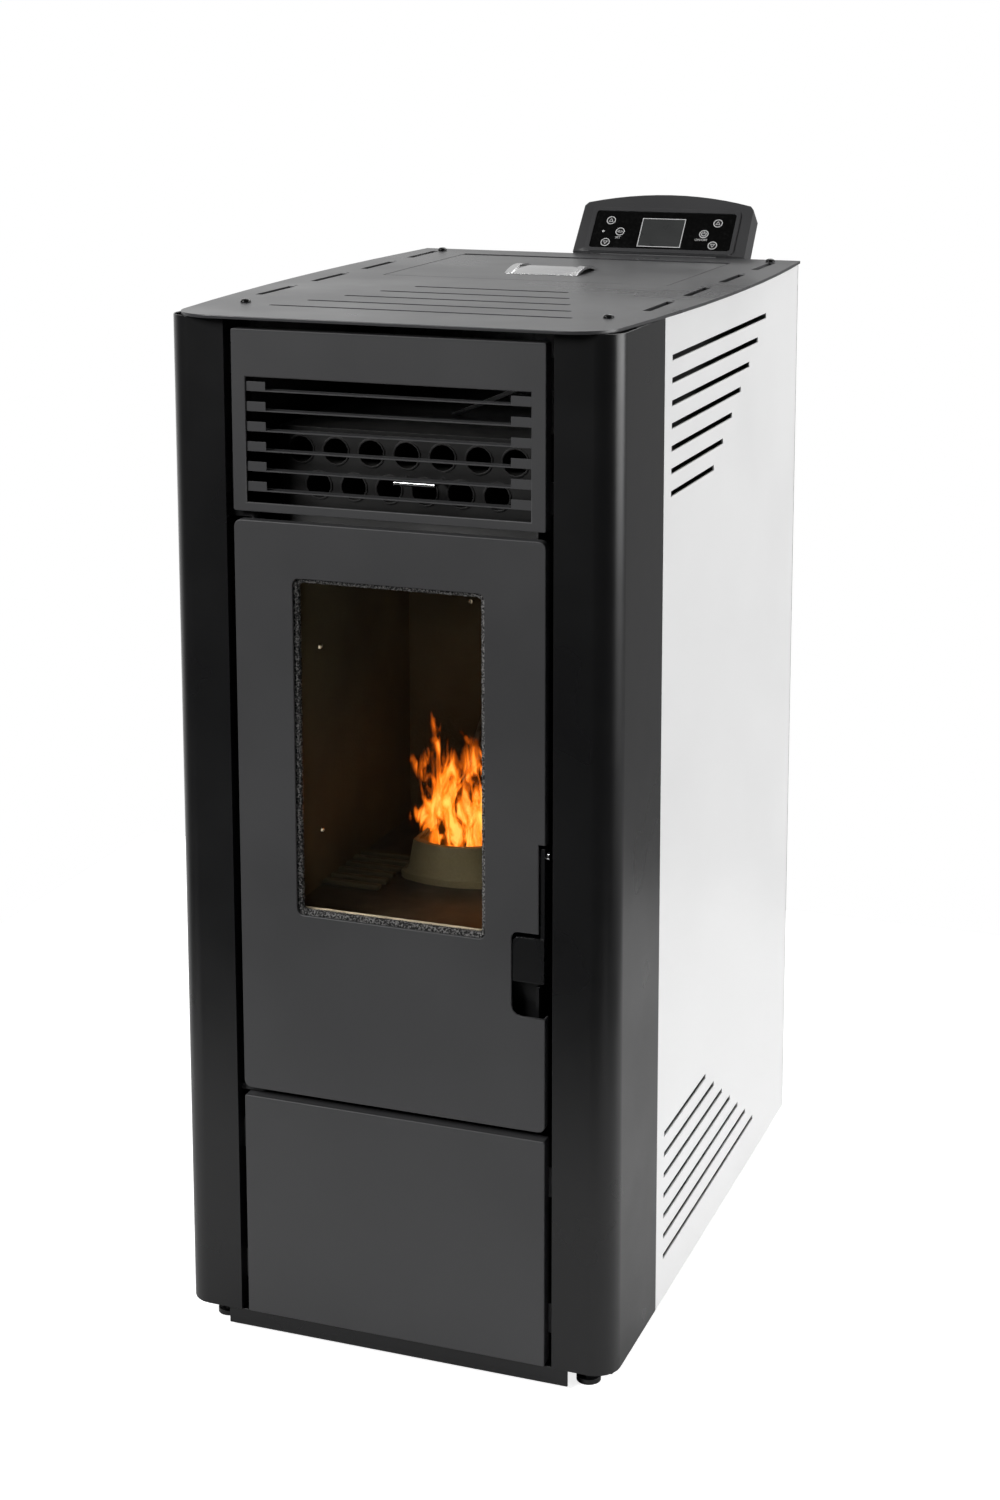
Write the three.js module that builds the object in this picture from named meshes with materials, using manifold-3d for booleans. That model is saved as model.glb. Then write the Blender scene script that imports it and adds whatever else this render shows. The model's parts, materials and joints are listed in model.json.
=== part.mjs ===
// Pellet stove, free-standing, built from folded sheet, a welded firebox and bolted-in fans.
// Millimetres, X to the right, Y to the back, Z up. While the pieces are made, x = 0 is mid-width,
// y = 0 is the front face of the door and z = 0 is the floor; the last lines centre the whole in Y.

import * as THREE from 'three';
import { mergeVertices } from 'three/addons/utils/BufferGeometryUtils.js';
import Module from 'manifold-3d';

const wasm = await Module();
wasm.setup();

// ---------------------------------------------------------------- driving dimensions

// clearances
const seat = 0.3;                    // between pieces that rest on each other
const play = 0.3;                    // radial, between a pin and its hole

// casing
const sheet = 1.5;                   // folded casing sheet
const frontWidth = 315;              // door, grille panel and lower panel
const lowerPanelHeight = 231;
const doorHeight = 573.5;
const grilleHeight = 174.5;
const panelGap = 8.5;                // between the front panels
const columnGap = 7.5;               // beside the front panels
const columnFaceWidth = 61.6;
const columnCornerRadius = 25;
const columnDepth = 141;
const columnReturn = 60;             // inner return of a column, from its face to the back
const casingDepth = 660;             // door face to the back of the rear panel
const flangeWidth = 20;
const panelFold = 14;                // folded rim of the grille panel and the lower panel

// base
const footHeight = 5;
const footRadius = 12;
const footStudRadius = 4;
const footStudRise = 20;             // stud above the tray
const footInset = 29;                // foot centre inside the tray's side edge
const footFrontY = 30;
const footBackInset = 30;            // foot centre ahead of the casing's back
const trayTop = 20.7;
const traySheet = 2;
const plinthHalfWidth = 180;
const plinthHeight = 15.4;
const plinthY = 3;
const trayInset = 4.6;               // tray's side edge inside the casing
const trayFlange = 5.2;              // side flange below the tray's sheet
const trayFlangeFrontY = 48;

// top plate
const topGap = 10;                   // grille panel to top plate
const plateThickness = 3;
const plateOverhang = 11.9;          // beyond the casing's sides at the widest place
const plateSideBow = 22;             // how far the sides draw in towards the front
const plateWidestY = 385;
const plateFront = 12.3;             // overhangs
const plateBack = 9.7;
const plateCornerRadius = 45;
const ventCount = 5;
const ventFirstY = 81;
const ventPitch = 49.5;
const ventHalfLength = 155;
const ventStep = 17.8;
const ventWidth = 7;
const sideSlotCount = 4;
const sideSlotInset = 23.6;          // slot centre inside the casing's side
const sideSlotFirstY = 197.5;
const sideSlotPitch = 133;
const sideSlotLength = 80;
const sideSlotWidth = 8;
const dotRadius = 2;
const dotSpacing = 9;                // from a slot's end to the dot behind it
const screwRadius = 3;
const screwHeadRadius = 5.25;
const screwHeadHeight = 3.4;
const screwLength = 14;
const frontScrewInset = 40.6;        // inside the casing's side
const frontScrewY = 93;
const backScrewInset = 28.6;
const backScrewSetback = 15;         // ahead of the casing's back

// hopper lid
const lidHalfWidth = 158.3;
const lidDepth = 233;
const lidSheet = 2;
const lidGap = 1.2;
const lidPinRadius = 2.5;
const lidPinSetback = 5;             // pin axis behind the lid's back edge
const lidPinDrop = 6;                // pin axis below the lid's top
const lidEarX = 106;
const lidEarWidth = 12;
const lidEarRadius = 5;
const lidPanDepth = 9;
const pullWidth = 82;
const pullDepth = 74;
const pullRise = 7;
const pullRailWidth = 8;
const pullSetback = 91;              // pull's middle behind the lid's front edge

// louvre and grille opening
const grilleSideBorder = 14.5;
const grilleLowBorder = 9;
const grilleOpeningHeight = 120;
const louvreCount = 6;
const louvrePitch = 19.15;
const louvreTopDrop = 12.5;          // first blade below the opening's top edge
const louvreSheet = 1.2;
const louvreDepth = 12;
const louvreTabWidth = 20;
const louvreTabHeight = 8;

// side panel slots
const slotCount = 7;
const slotPitch = 22;
const slotHeight = 5.6;
const slotStartSetback = 24.5;       // from the panel's front edge
const slotLongest = 353;
const slotStep = 33.6;
const slotTopDrop = 41.5;            // panel's top edge to the first slot
const slotLowRise = 46;              // panel's lower edge to the lowest slot

// firebox
const fireWall = 3;
const fireSetIn = 16;                // firebox side inside the door frame's edge
const fireSetback = 302;             // firebox's back ahead of the casing's back
const skirtFrontY = 60;
const skirtSetback = 23;             // skirt's back edge ahead of the firebox's back
const fireLowZ = 282.5;
const fireCollarZ = 813.5;           // top of the door opening's collar
const fireTopZ = 918;
const exchangerFrontY = 51.5;
const exchangerInset = 4;            // tube plate's edge inside the firebox side
const fireFloorZ = 440;              // top of the chamber floor
const linerThickness = 10.7;
const linerBackThickness = 13.7;
const linerTopZ = 800;
const baffleThickness = 5;
const baffleFrontY = 110;

// heat exchanger
const tubeRadius = 14.5;
const tubeWall = 2;
const tubeSideMargin = 4;            // outer tube to the edge of the tube plate
const upperTubeCount = 7;
const tubeRowPitch = 34;
const tubePlateMargin = 3.5;
const scraperRodRadius = 2.5;
const scraperBarY = 26;
const scraperPlateThickness = 3;
const scraperPlateSetback = 28;      // scraper plate ahead of the firebox's back
const scraperTravel = 120;

// pot
const potHalfWidth = 40;
const potFrontY = 154;
const potBackY = 245;
const potTopZ = 480;
const potBow = 9;                    // how far the front bulges
const potFlare = 12;                 // how far the skirt spreads at its foot
const potWall = 5;
const cupWall = 3;
const cupFloorZ = 452;
const cupHoleRadius = 3;

// ash pan
const panSheet = 1.5;
const panSideGap = 20;               // pan to the outside of the firebox
const panFrontY = 76;
const panBackGap = 18;
const panHeight = 84;

// door
const doorSheet = 2;
const doorFold = 10;
const doorCornerRadius = 7;
const windowHalfWidth = 97.1;
const windowLowRise = 186;           // door's lower edge to the window
const windowHeight = 334;
const windowRadius = 6;
const glassThickness = 4;
const glassOverlap = 10;
const glassRopeRadius = 4.6;
const frameSheet = 3;
const frameNotchGap = 3;             // frame's edge inside the door's handle notch
const frameLowRise = 5.5;            // door's lower edge to the inner frame
const doorRopeRadius = 5;
const ribSheet = 2.5;
const ribHeight = 7;
const hingeInset = 6;                // hinge axis inside the frame's edge
const hingeY = 16;
const hingePinRadius = 4;
const hingeBarrelRadius = 5.5;
const hingeBarrelLength = 34;
const lugThickness = 6;
const lugRadius = 6;
const pinShort = 0.4;                // pin's end beyond its lug

// door handle
const notchWidth = 6.5;
const notchLowRise = 196;
const notchTopRise = 284.7;
const gripNotchWidth = 33.6;
const gripNotchLowRise = 114.4;
const gripNotchTopRise = 197.3;
const leverThickness = 4;
const leverGap = 1.2;                // lever beside the edge of its notch
const leverPivotY = 10;
const leverPivotRise = 272.5;        // door's lower edge to the pivot
const leverPinRadius = 3;
const gripHeight = 44;
const gripLowRise = 148.5;
const gripThickness = 3;
const catchRadius = 4;
const catchY = 38;
const catchEngagement = 1.8;         // how far the nose rises behind the stud when latched
const catchDrop = 3;                 // catch stud below the lever's pivot

// hopper and auger
const hopperSheet = 1.5;
const hopperGap = 1.5;               // hopper behind the warm-air duct
const lidRest = 7.8;                 // lid's edge beyond the hopper's side
const lidFrontRest = 6.5;
const lidBackRest = 5.5;
const hopperShoulderZ = 800;
const throatDrop = 109;              // throat's end below the top of the auger tube
const throatHalfWidth = 24;
const throatSetback = 90;            // throat behind the top of the auger tube
const throatDepth = 54;
const hopperFlange = 29.5;
const augerTopSetback = 46;          // top of the auger tube behind the firebox
const augerTopZ = 687;
const augerTubeLength = 220.6;
const augerAngle = 45;
const augerTubeRadius = 28;
const augerTubeWall = 3;
const flightRadius = 23;
const flightPitch = 36;
const flightThickness = 3;
const augerShaftRadius = 6;
const chuteAngle = 42;
const chuteSetback = 18;             // chute's start behind and below the top of the auger tube
const chuteDrop = 20;
const chutePotGap = 8;               // chute's end behind the pot
const chuteRadius = 23;
const chuteWall = 3;
const gearboxSize = 58;
const gearboxLength = 34;
const augerMotorRadius = 24;
const augerMotorLength = 38;

// smoke fan
const smokeX = -95;
const smokeZ = 165;
const smokeSetback = 42;             // drum behind the firebox
const smokeDrumDepth = 55;
const smokeRadius = 78;
const fanSheet = 2.5;
const flueRadius = 40;
const flueWall = 1.5;
const flueZ = 250;
const flueReach = 55;                // beyond the rear panel
const smokeInletHalfWidth = 34;
const smokeInletLowZ = 300;
const smokeInletHeight = 46;
const smokeMotorRadius = 34;
const smokeMotorLength = 60;

// room fan
const roomFanLeftX = 45;
const roomFanRightX = 120;
const roomFanZ = 130;
const roomFanRadius = 72;
const ductSheet = 1.5;
const ductInset = 6;                 // duct's side inside the firebox side
const ductDepth = 21.7;
const ductShoulderRise = 13;         // duct widens above the top of the auger tube
const ductTopDrop = 2;               // below the firebox top
const ductLowZ = 130;
const roomMotorRadius = 36;
const roomMotorLength = 50;
const bladeCount = 10;
const fanShaftRadius = 4;

// air, igniter, electrics
const intakeX = 0;
const intakeZ = 305;
const intakeRadius = 18;
const intakeWall = 1.5;
const intakeReach = 40;              // beyond the rear panel
const igniterRadius = 6;
const igniterZ = 462;
const igniterReach = 42;             // behind the firebox
const boardStandoff = 16.8;          // board's face to the side panel
const boardSetback = 210;            // board's back edge ahead of the casing's back
const boardLength = 130;
const boardZ = [300, 430];
const boardThickness = 2;
const standoffRadius = 4;
const inletX = 150;
const inletZ = 120;
const inletWidth = 48;
const inletHeight = 28;
const inletDepth = 30;

// control console
const consoleX = 57.6;
const consoleHalfWidth = 103;
const consoleHeight = 71;
const consoleArch = 13;
const consoleDepth = 26;
const consoleTilt = 40.1;            // degrees back from upright
const consoleSetback = 12;           // console's foot behind the casing
const consoleLift = 1.5;             // console's foot above the top plate
const consoleRadius = 5;
const bezelHalfWidth = 89;
const bezelLow = 1.5;
const bezelHigh = 63;
const bezelRise = 2;
const bezelRim = 4.5;
const faceThickness = 2;
const faceDepth = 1;                 // face below the bezel's rim
const displayHalfWidth = 26;
const displayCentre = [-1, 29.5];
const displayHeight = 40;
const keyRadius = 5.6;
const keyProud = 0.2;                // key above the face
const keyTravel = 0.5;
const keyPlaces = {
  key_left_up: [-65, 45],
  key_left_down: [-66, 14],
  key_set: [-51, 29.5],
  key_right_up: [64, 45],
  key_right_down: [63, 14],
  key_power: [50, 29.5],
};

// ---------------------------------------------------------------- derived places

const lowerPanelZ = trayTop + seat;
const doorZ = lowerPanelZ + lowerPanelHeight + panelGap;
const doorTopZ = doorZ + doorHeight;
const grilleZ = doorTopZ + panelGap;
const grilleTopZ = grilleZ + grilleHeight;
const plateZ = grilleTopZ + topGap;
const plateTopZ = plateZ + plateThickness;
const casingTopZ = plateZ - seat;
const halfFront = frontWidth / 2;
const columnInnerX = halfFront + columnGap;
const casingHalfWidth = columnInnerX + columnFaceWidth;
const sidePanelY = columnDepth + seat;
const rearPanelY = casingDepth - sheet;
const sidePanelBackY = rearPanelY - seat;
const trayHalfWidth = casingHalfWidth - trayInset;
const footX = trayHalfWidth - footInset;
const footBackY = casingDepth - footBackInset;
const plateHalfWidth = casingHalfWidth + plateOverhang;
const sideSlotX = casingHalfWidth - sideSlotInset;
const frontScrew = [casingHalfWidth - frontScrewInset, frontScrewY];
const backScrew = [casingHalfWidth - backScrewInset, casingDepth - backScrewSetback];

const windowZ = doorZ + windowLowRise;
const windowTopZ = windowZ + windowHeight;
const notchX = halfFront - notchWidth;
const gripNotchX = halfFront - gripNotchWidth;
const leverX = notchX + leverGap;
const frameHalfWidth = notchX - frameNotchGap;
const hingeX = frameHalfWidth - hingeInset;
const glassRopeY = doorSheet + seat + glassRopeRadius;
const glassFrontY = glassRopeY + glassRopeRadius + seat;
const framePlateY = glassFrontY + glassThickness + seat;
const frameBackY = framePlateY + frameSheet;
const frameLowZ = doorZ + frameLowRise;
const frameTopZ = doorTopZ - frameLowRise;
const doorRopeY = frameBackY + seat + doorRopeRadius;

const fireBackY = casingDepth - fireSetback;
const scraperPlateY = fireBackY - scraperPlateSetback;
const boardY = [casingDepth - boardSetback - boardLength, casingDepth - boardSetback];
const fireHalfWidth = frameHalfWidth - fireSetIn;
const fireFrontY = doorRopeY + doorRopeRadius + seat;
const doorRopeHalf = fireHalfWidth - fireWall / 2;
const doorRopeLowZ = fireLowZ + fireWall / 2;
const doorRopeTopZ = fireCollarZ - fireWall / 2;
const linerBackY = fireBackY - fireWall - seat - linerBackThickness;
const exchangerHalf = fireHalfWidth - exchangerInset;
const exchangerTopZ = fireTopZ - fireWall - 1;
const upperTubeZ = exchangerTopZ - tubePlateMargin - tubeRadius;
const lowerTubeZ = upperTubeZ - tubeRowPitch;
const exchangerLowZ = lowerTubeZ - tubeRadius - tubePlateMargin - 4;
const tubePitch = (2 * (exchangerHalf - tubeSideMargin - tubeRadius)) / (upperTubeCount - 1);
const panHalfWidth = fireHalfWidth - panSideGap;
const panBackY = fireBackY - panBackGap;
const panLowZ = fireLowZ + fireWall + seat;

const ductFrontY = fireBackY + seat;
const ductBackY = ductFrontY + ductDepth;
const ductHalfWidth = fireHalfWidth - ductInset;
const ductTopZ = fireTopZ - ductTopDrop;
const roomFanY = ductBackY + roomFanRadius;
const smokeFrontY = fireBackY + smokeSetback;
const smokeBackY = smokeFrontY + smokeDrumDepth;
const flueEndY = casingDepth + flueReach;
const intakeEndY = casingDepth + intakeReach;
const igniterEndY = fireBackY + igniterReach;

const hopperFrontY = ductBackY + hopperGap;
const lidFrontY = hopperFrontY - lidFrontRest;
const lidBackY = lidFrontY + lidDepth;
const hopperBackY = lidBackY - lidBackRest;
const hopperHalfWidth = lidHalfWidth - lidRest;
const hopperFlangeHalfWidth = hopperHalfWidth + hopperFlange;
const lidPinY = lidBackY + lidPinSetback;
const lidPinZ = plateTopZ - lidPinDrop;
const lidPinEnd = lidEarX + lidEarWidth / 2 + 9;
const lidSweep = Math.hypot(lidPinSetback, lidPinDrop) + 0.4;
const pullCentreY = lidFrontY + pullSetback;

const augerSlope = THREE.MathUtils.degToRad(augerAngle);
const augerTop = [0, fireBackY + augerTopSetback, augerTopZ];
const augerBottom = [
  0,
  augerTop[1] + augerTubeLength * Math.cos(augerSlope),
  augerTop[2] - augerTubeLength * Math.sin(augerSlope),
];
const augerAxis = new THREE.Vector3(...augerTop).sub(new THREE.Vector3(...augerBottom)).normalize();
const throatFrontY = augerTop[1] + throatSetback;
const throatBackY = throatFrontY + throatDepth;
const chuteSlope = Math.tan(THREE.MathUtils.degToRad(chuteAngle));
const chuteTop = [0, augerTop[1] + chuteSetback, augerTop[2] - chuteDrop];
const chuteEndY = potBackY + chutePotGap;
const chuteLow = [0, chuteEndY - chuteRadius, chuteTop[2] - (chuteTop[1] - chuteEndY + chuteRadius) * chuteSlope];
const throatZ = augerTopZ - throatDrop;
const ductShoulderZ = augerTopZ + ductShoulderRise;

const boardX = casingHalfWidth - sheet - seat - boardStandoff - boardThickness;
const consoleY = casingDepth + consoleSetback;
const consoleZ = plateTopZ + consoleLift;
const grilleOpeningZ = grilleZ + grilleLowBorder;
const grilleOpeningTopZ = grilleOpeningZ + grilleOpeningHeight;

// ---------------------------------------------------------------- finishes

const finish = (color, roughness, metalness = 0) =>
  new THREE.MeshStandardMaterial({ color, roughness, metalness });

const charcoal = finish(0x454545, 0.6, 0.2);
const blackPaint = finish(0x1a1a1a, 0.4, 0.2);
const whitePaint = finish(0xefefef, 0.45);
const platePaint = finish(0x4c4c4c, 0.5, 0.3);
const castIron = finish(0x4a4840, 0.8, 0.4);
const darkSteel = finish(0x2a2825, 0.65, 0.6);
const galvanised = finish(0x9a9d9f, 0.45, 0.8);
const chrome = finish(0xe6e6e6, 0.12, 1);
const rope = finish(0x3c3a37, 0.95);
const vermiculite = finish(0x3a3226, 0.9);
const glass = new THREE.MeshStandardMaterial({
  color: 0x4a3c28, roughness: 0.05, transparent: true, opacity: 0.35,
});
const glossBlack = finish(0x080808, 0.12);
const keyBlack = finish(0x101010, 0.3);
const displayGrey = finish(0x5d6060, 0.2);
const housingPlastic = finish(0x3a3b3c, 0.7);
const boardGreen = finish(0x1e5a32, 0.6);
const alloy = finish(0xb9bcbf, 0.4, 0.8);

// ---------------------------------------------------------------- solids

function solidOf(geometry) {
  const bare = new THREE.BufferGeometry();
  bare.setAttribute('position', geometry.getAttribute('position'));
  if (geometry.index) bare.setIndex(geometry.index);
  const merged = mergeVertices(bare, 1e-4);
  return new wasm.Manifold(new wasm.Mesh({
    numProp: 3,
    vertProperties: new Float32Array(merged.getAttribute('position').array),
    triVerts: new Uint32Array(merged.index.array),
  }));
}

// Edges shorter than this are merged away once a piece is finished.
const shortestEdge = 0.02;

function geometryOf(solid) {
  const mesh = solid.simplify(shortestEdge).getMesh();
  const geometry = new THREE.BufferGeometry();
  geometry.setAttribute('position', new THREE.BufferAttribute(mesh.vertProperties, 3));
  geometry.setIndex(new THREE.BufferAttribute(mesh.triVerts, 1));
  geometry.computeVertexNormals();
  return geometry;
}

const join = (first, ...others) => others.reduce((sum, next) => sum.add(next), first);
const cut = (first, ...others) => others.reduce((rest, next) => rest.subtract(next), first);

// A box between two limits on each axis, given in any order.
function box([xa, xb], [ya, yb], [za, zb]) {
  const size = [Math.abs(xb - xa), Math.abs(yb - ya), Math.abs(zb - za)];
  const geometry = new THREE.BoxGeometry(...size);
  geometry.translate((xa + xb) / 2, (ya + yb) / 2, (za + zb) / 2);
  return solidOf(geometry);
}

function prism(outline, low, high) {
  const shape = new THREE.Shape(outline.map(([u, v]) => new THREE.Vector2(u, v)));
  const geometry = new THREE.ExtrudeGeometry(shape, { depth: high - low, bevelEnabled: false });
  geometry.translate(0, 0, low);
  return geometry;
}

// Extrusions whose outline lies in the plane across the named axis:
// (x, y) for alongZ, (x, z) for alongY and (y, z) for alongX.
function extruded(outline, holes, [low, high], basis) {
  const along = (points, a, b) => solidOf(prism(points, a, b).applyMatrix4(basis));
  return cut(along(outline, low, high), ...holes.map((hole) => along(hole, low - 1, high + 1)));
}

const axisX = new THREE.Vector3(1, 0, 0);
const axisY = new THREE.Vector3(0, 1, 0);
const axisZ = new THREE.Vector3(0, 0, 1);
const basisX = new THREE.Matrix4().makeBasis(axisY, axisZ, axisX);
const basisY = new THREE.Matrix4().makeBasis(axisX, axisZ, axisY.clone().negate());
const alongX = (outline, [xa, xb], holes = []) => extruded(outline, holes, [xa, xb], basisX);
const alongY = (outline, [ya, yb], holes = []) => extruded(outline, holes, [-yb, -ya], basisY);
const alongZ = (outline, [za, zb], holes = []) => extruded(outline, holes, [za, zb], new THREE.Matrix4());

const rectangle = (ua, va, ub, vb) => [[ua, va], [ub, va], [ub, vb], [ua, vb]];

function arc(u, v, radius, fromDegrees, toDegrees, steps) {
  const points = [];
  for (let step = 0; step <= steps; step += 1) {
    const angle = THREE.MathUtils.degToRad(fromDegrees + ((toDegrees - fromDegrees) * step) / steps);
    points.push([u + radius * Math.cos(angle), v + radius * Math.sin(angle)]);
  }
  return points;
}

const circle = (u, v, radius, steps = 16) => arc(u, v, radius, 0, 360, steps).slice(0, steps);

const roundedRectangle = (ua, va, ub, vb, radius, steps = 3) => [
  ...arc(ub - radius, va + radius, radius, -90, 0, steps),
  ...arc(ub - radius, vb - radius, radius, 0, 90, steps),
  ...arc(ua + radius, vb - radius, radius, 90, 180, steps),
  ...arc(ua + radius, va + radius, radius, 180, 270, steps),
];

// A round bar between two points.
function bar(from, to, radius, steps = 16) {
  const start = new THREE.Vector3(...from);
  const direction = new THREE.Vector3(...to).sub(start);
  const length = direction.length();
  const geometry = new THREE.CylinderGeometry(radius, radius, length, steps);
  geometry.translate(0, length / 2, 0);
  geometry.applyQuaternion(new THREE.Quaternion().setFromUnitVectors(axisY, direction.normalize()));
  geometry.translate(...from);
  return solidOf(geometry);
}

// A closed skin through outlines with the same number of points, lowest first.
function loft(levels) {
  const count = levels[0].points.length;
  const positions = levels.flatMap(({ points, z }) => points.flatMap(([x, y]) => [x, y, z]));
  const index = [];
  for (let level = 0; level + 1 < levels.length; level += 1) {
    for (let i = 0; i < count; i += 1) {
      const a = level * count + i;
      const b = level * count + ((i + 1) % count);
      index.push(a, b, b + count, a, b + count, a + count);
    }
  }
  const rim = levels[0].points.map(([x, y]) => new THREE.Vector2(x, y));
  const last = (levels.length - 1) * count;
  for (const [a, b, c] of THREE.ShapeUtils.triangulateShape(rim, [])) {
    index.push(c, b, a, last + a, last + b, last + c);
  }
  const geometry = new THREE.BufferGeometry();
  geometry.setAttribute('position', new THREE.Float32BufferAttribute(positions, 3));
  geometry.setIndex(index);
  return solidOf(geometry);
}

// A round rope laid round a rounded rectangle in a plane across Y.
function ropeRing(halfWidth, lowZ, highZ, y, cornerRadius, radius) {
  const corners = [
    [halfWidth - cornerRadius, lowZ + cornerRadius, -90],
    [halfWidth - cornerRadius, highZ - cornerRadius, 0],
    [cornerRadius - halfWidth, highZ - cornerRadius, 90],
    [cornerRadius - halfWidth, lowZ + cornerRadius, 180],
  ];
  const cornerSteps = 3;
  const sides = 8;
  const positions = [];
  for (const [x, z, start] of corners) {
    for (let step = 0; step <= cornerSteps; step += 1) {
      const turn = THREE.MathUtils.degToRad(start + (90 * step) / cornerSteps);
      for (let side = 0; side < sides; side += 1) {
        const angle = (2 * Math.PI * side) / sides;
        const out = cornerRadius + radius * Math.cos(angle);
        positions.push(x + out * Math.cos(turn), y + radius * Math.sin(angle), z + out * Math.sin(turn));
      }
    }
  }
  const rings = corners.length * (cornerSteps + 1);
  const index = [];
  for (let ring = 0; ring < rings; ring += 1) {
    const next = (ring + 1) % rings;
    for (let side = 0; side < sides; side += 1) {
      const a = ring * sides + side;
      const b = ring * sides + ((side + 1) % sides);
      const c = next * sides + ((side + 1) % sides);
      const d = next * sides + side;
      index.push(a, b, c, a, c, d);
    }
  }
  const geometry = new THREE.BufferGeometry();
  geometry.setAttribute('position', new THREE.Float32BufferAttribute(positions, 3));
  geometry.setIndex(index);
  return solidOf(geometry);
}

// A helical flight round the Z axis from z = 0, with its inner edge inside the shaft.
function helix(innerRadius, outerRadius, pitch, thickness, length) {
  const stepsPerTurn = 14;
  const steps = Math.round((length / pitch) * stepsPerTurn);
  const positions = [];
  for (let step = 0; step <= steps; step += 1) {
    const angle = (2 * Math.PI * step) / stepsPerTurn;
    const z = (length * step) / steps;
    for (const [radius, rise] of [[innerRadius, 0], [outerRadius, 0], [outerRadius, thickness], [innerRadius, thickness]]) {
      positions.push(radius * Math.cos(angle), radius * Math.sin(angle), z + rise);
    }
  }
  const index = [];
  for (let step = 0; step < steps; step += 1) {
    for (let side = 0; side < 4; side += 1) {
      const a = step * 4 + side;
      const b = step * 4 + ((side + 1) % 4);
      index.push(a, b + 4, b, a, a + 4, b + 4);
    }
  }
  const last = steps * 4;
  index.push(0, 1, 2, 0, 2, 3, last, last + 2, last + 1, last, last + 3, last + 2);
  const geometry = new THREE.BufferGeometry();
  geometry.setAttribute('position', new THREE.Float32BufferAttribute(positions, 3));
  geometry.setIndex(index);
  return geometry;
}

const stove = new THREE.Group();

function piece(name, solid, material, parent = stove) {
  const mesh = new THREE.Mesh(geometryOf(solid), material);
  mesh.name = name;
  parent.add(mesh);
  return mesh;
}

const sides = [['left', -1], ['right', 1]];

// ---------------------------------------------------------------- base

function baseTray() {
  const low = trayTop - traySheet;
  const outline = [
    [-plinthHalfWidth, plinthY], [plinthHalfWidth, plinthY],
    [plinthHalfWidth, plinthY + 11], [trayHalfWidth, plinthY + 11],
    [trayHalfWidth, sidePanelBackY], [-trayHalfWidth, sidePanelBackY],
    [-trayHalfWidth, plinthY + 11], [-plinthHalfWidth, plinthY + 11],
  ];
  const studHoles = footPlaces().map(({ x, y }) => circle(x, y, footStudRadius + play, 12));
  const flangeZ = [low - trayFlange, trayTop];
  return join(
    alongZ(outline, [low, trayTop], studHoles),
    box([-plinthHalfWidth, plinthHalfWidth], [plinthY, plinthY + traySheet], [trayTop - plinthHeight - traySheet, trayTop]),
    ...sides.map(([, side]) => box(
      [side * (trayHalfWidth - traySheet), side * trayHalfWidth],
      [trayFlangeFrontY, sidePanelBackY],
      flangeZ,
    )),
    box([-trayHalfWidth, trayHalfWidth], [sidePanelBackY - traySheet, sidePanelBackY], flangeZ),
  );
}

function footPlaces() {
  return [
    { name: 'foot_front_left', x: -footX, y: footFrontY },
    { name: 'foot_front_right', x: footX, y: footFrontY },
    { name: 'foot_back_left', x: -footX, y: footBackY },
    { name: 'foot_back_right', x: footX, y: footBackY },
  ];
}

// A pad with a hexagonal adjuster that carries the tray, and a stud through the tray.
function foot({ x, y }) {
  const underTray = trayTop - traySheet - seat;
  return join(
    bar([x, y, 0], [x, y, footHeight], footRadius, 24),
    bar([x, y, footHeight / 2], [x, y, underTray], 8, 6),
    bar([x, y, footHeight], [x, y, trayTop + footStudRise], footStudRadius, 12),
  );
}

piece('base_tray', baseTray(), blackPaint);
for (const place of footPlaces()) piece(place.name, foot(place), blackPaint);

// ---------------------------------------------------------------- columns and panels

// Folded front column: inner return, face, rounded corner, side and rear flange, with a gusset
// under the top plate for its screw.
function column(side) {
  const outer = casingHalfWidth;
  const radius = columnCornerRadius;
  const cornerX = outer - radius;
  const outline = [
    [columnInnerX, columnReturn], [columnInnerX, 0],
    ...arc(cornerX, radius, radius, -90, 0, 6),
    [outer, columnDepth], [outer - flangeWidth, columnDepth], [outer - flangeWidth, columnDepth - sheet],
    [outer - sheet, columnDepth - sheet],
    ...arc(cornerX, radius, radius - sheet, 0, -90, 6),
    [columnInnerX + sheet, sheet], [columnInnerX + sheet, columnReturn],
  ].map(([x, y]) => [side * x, y]);
  const gusset = box(
    [side * (columnInnerX + sheet / 2), side * (outer - sheet / 2)],
    [frontScrew[1] - 33, columnDepth - sheet / 2],
    [casingTopZ - traySheet, casingTopZ],
  );
  return cut(
    join(alongZ(outline, [lowerPanelZ, casingTopZ]), gusset),
    bar([side * frontScrew[0], frontScrew[1], casingTopZ - 20], [side * frontScrew[0], frontScrew[1], casingTopZ + 5], screwRadius + play, 12),
  );
}

// The lugs stand in the gaps below and above the door, clear of the edge that swings past them.
const lugGap = (panelGap - lugThickness) / 2;
const lowerLugZ = doorZ - lugGap - lugThickness;
const upperLugZ = doorTopZ + lugGap;

// Hinge lug on the left column, with the hole for a pin of the door frame.
function hingeLug(z) {
  const x = -hingeX;
  const outline = [
    [-columnInnerX - sheet / 2, hingeY - lugRadius], [x, hingeY - lugRadius],
    ...arc(x, hingeY, lugRadius, -60, 60, 4),
    [x, hingeY + lugRadius], [-columnInnerX - sheet / 2, hingeY + lugRadius],
  ];
  return alongZ(outline, [z, z + lugThickness], [circle(x, hingeY, hingePinRadius + play, 16)]);
}

const catchZ = doorZ + leverPivotRise - catchDrop;
const catchStud = () => bar([columnInnerX + sheet / 2, catchY, catchZ], [leverX - 0.7, catchY, catchZ], catchRadius, 14);

piece('left_column', join(column(-1), hingeLug(lowerLugZ), hingeLug(upperLugZ)), blackPaint);
piece('right_column', join(column(1), catchStud()), blackPaint);

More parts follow.
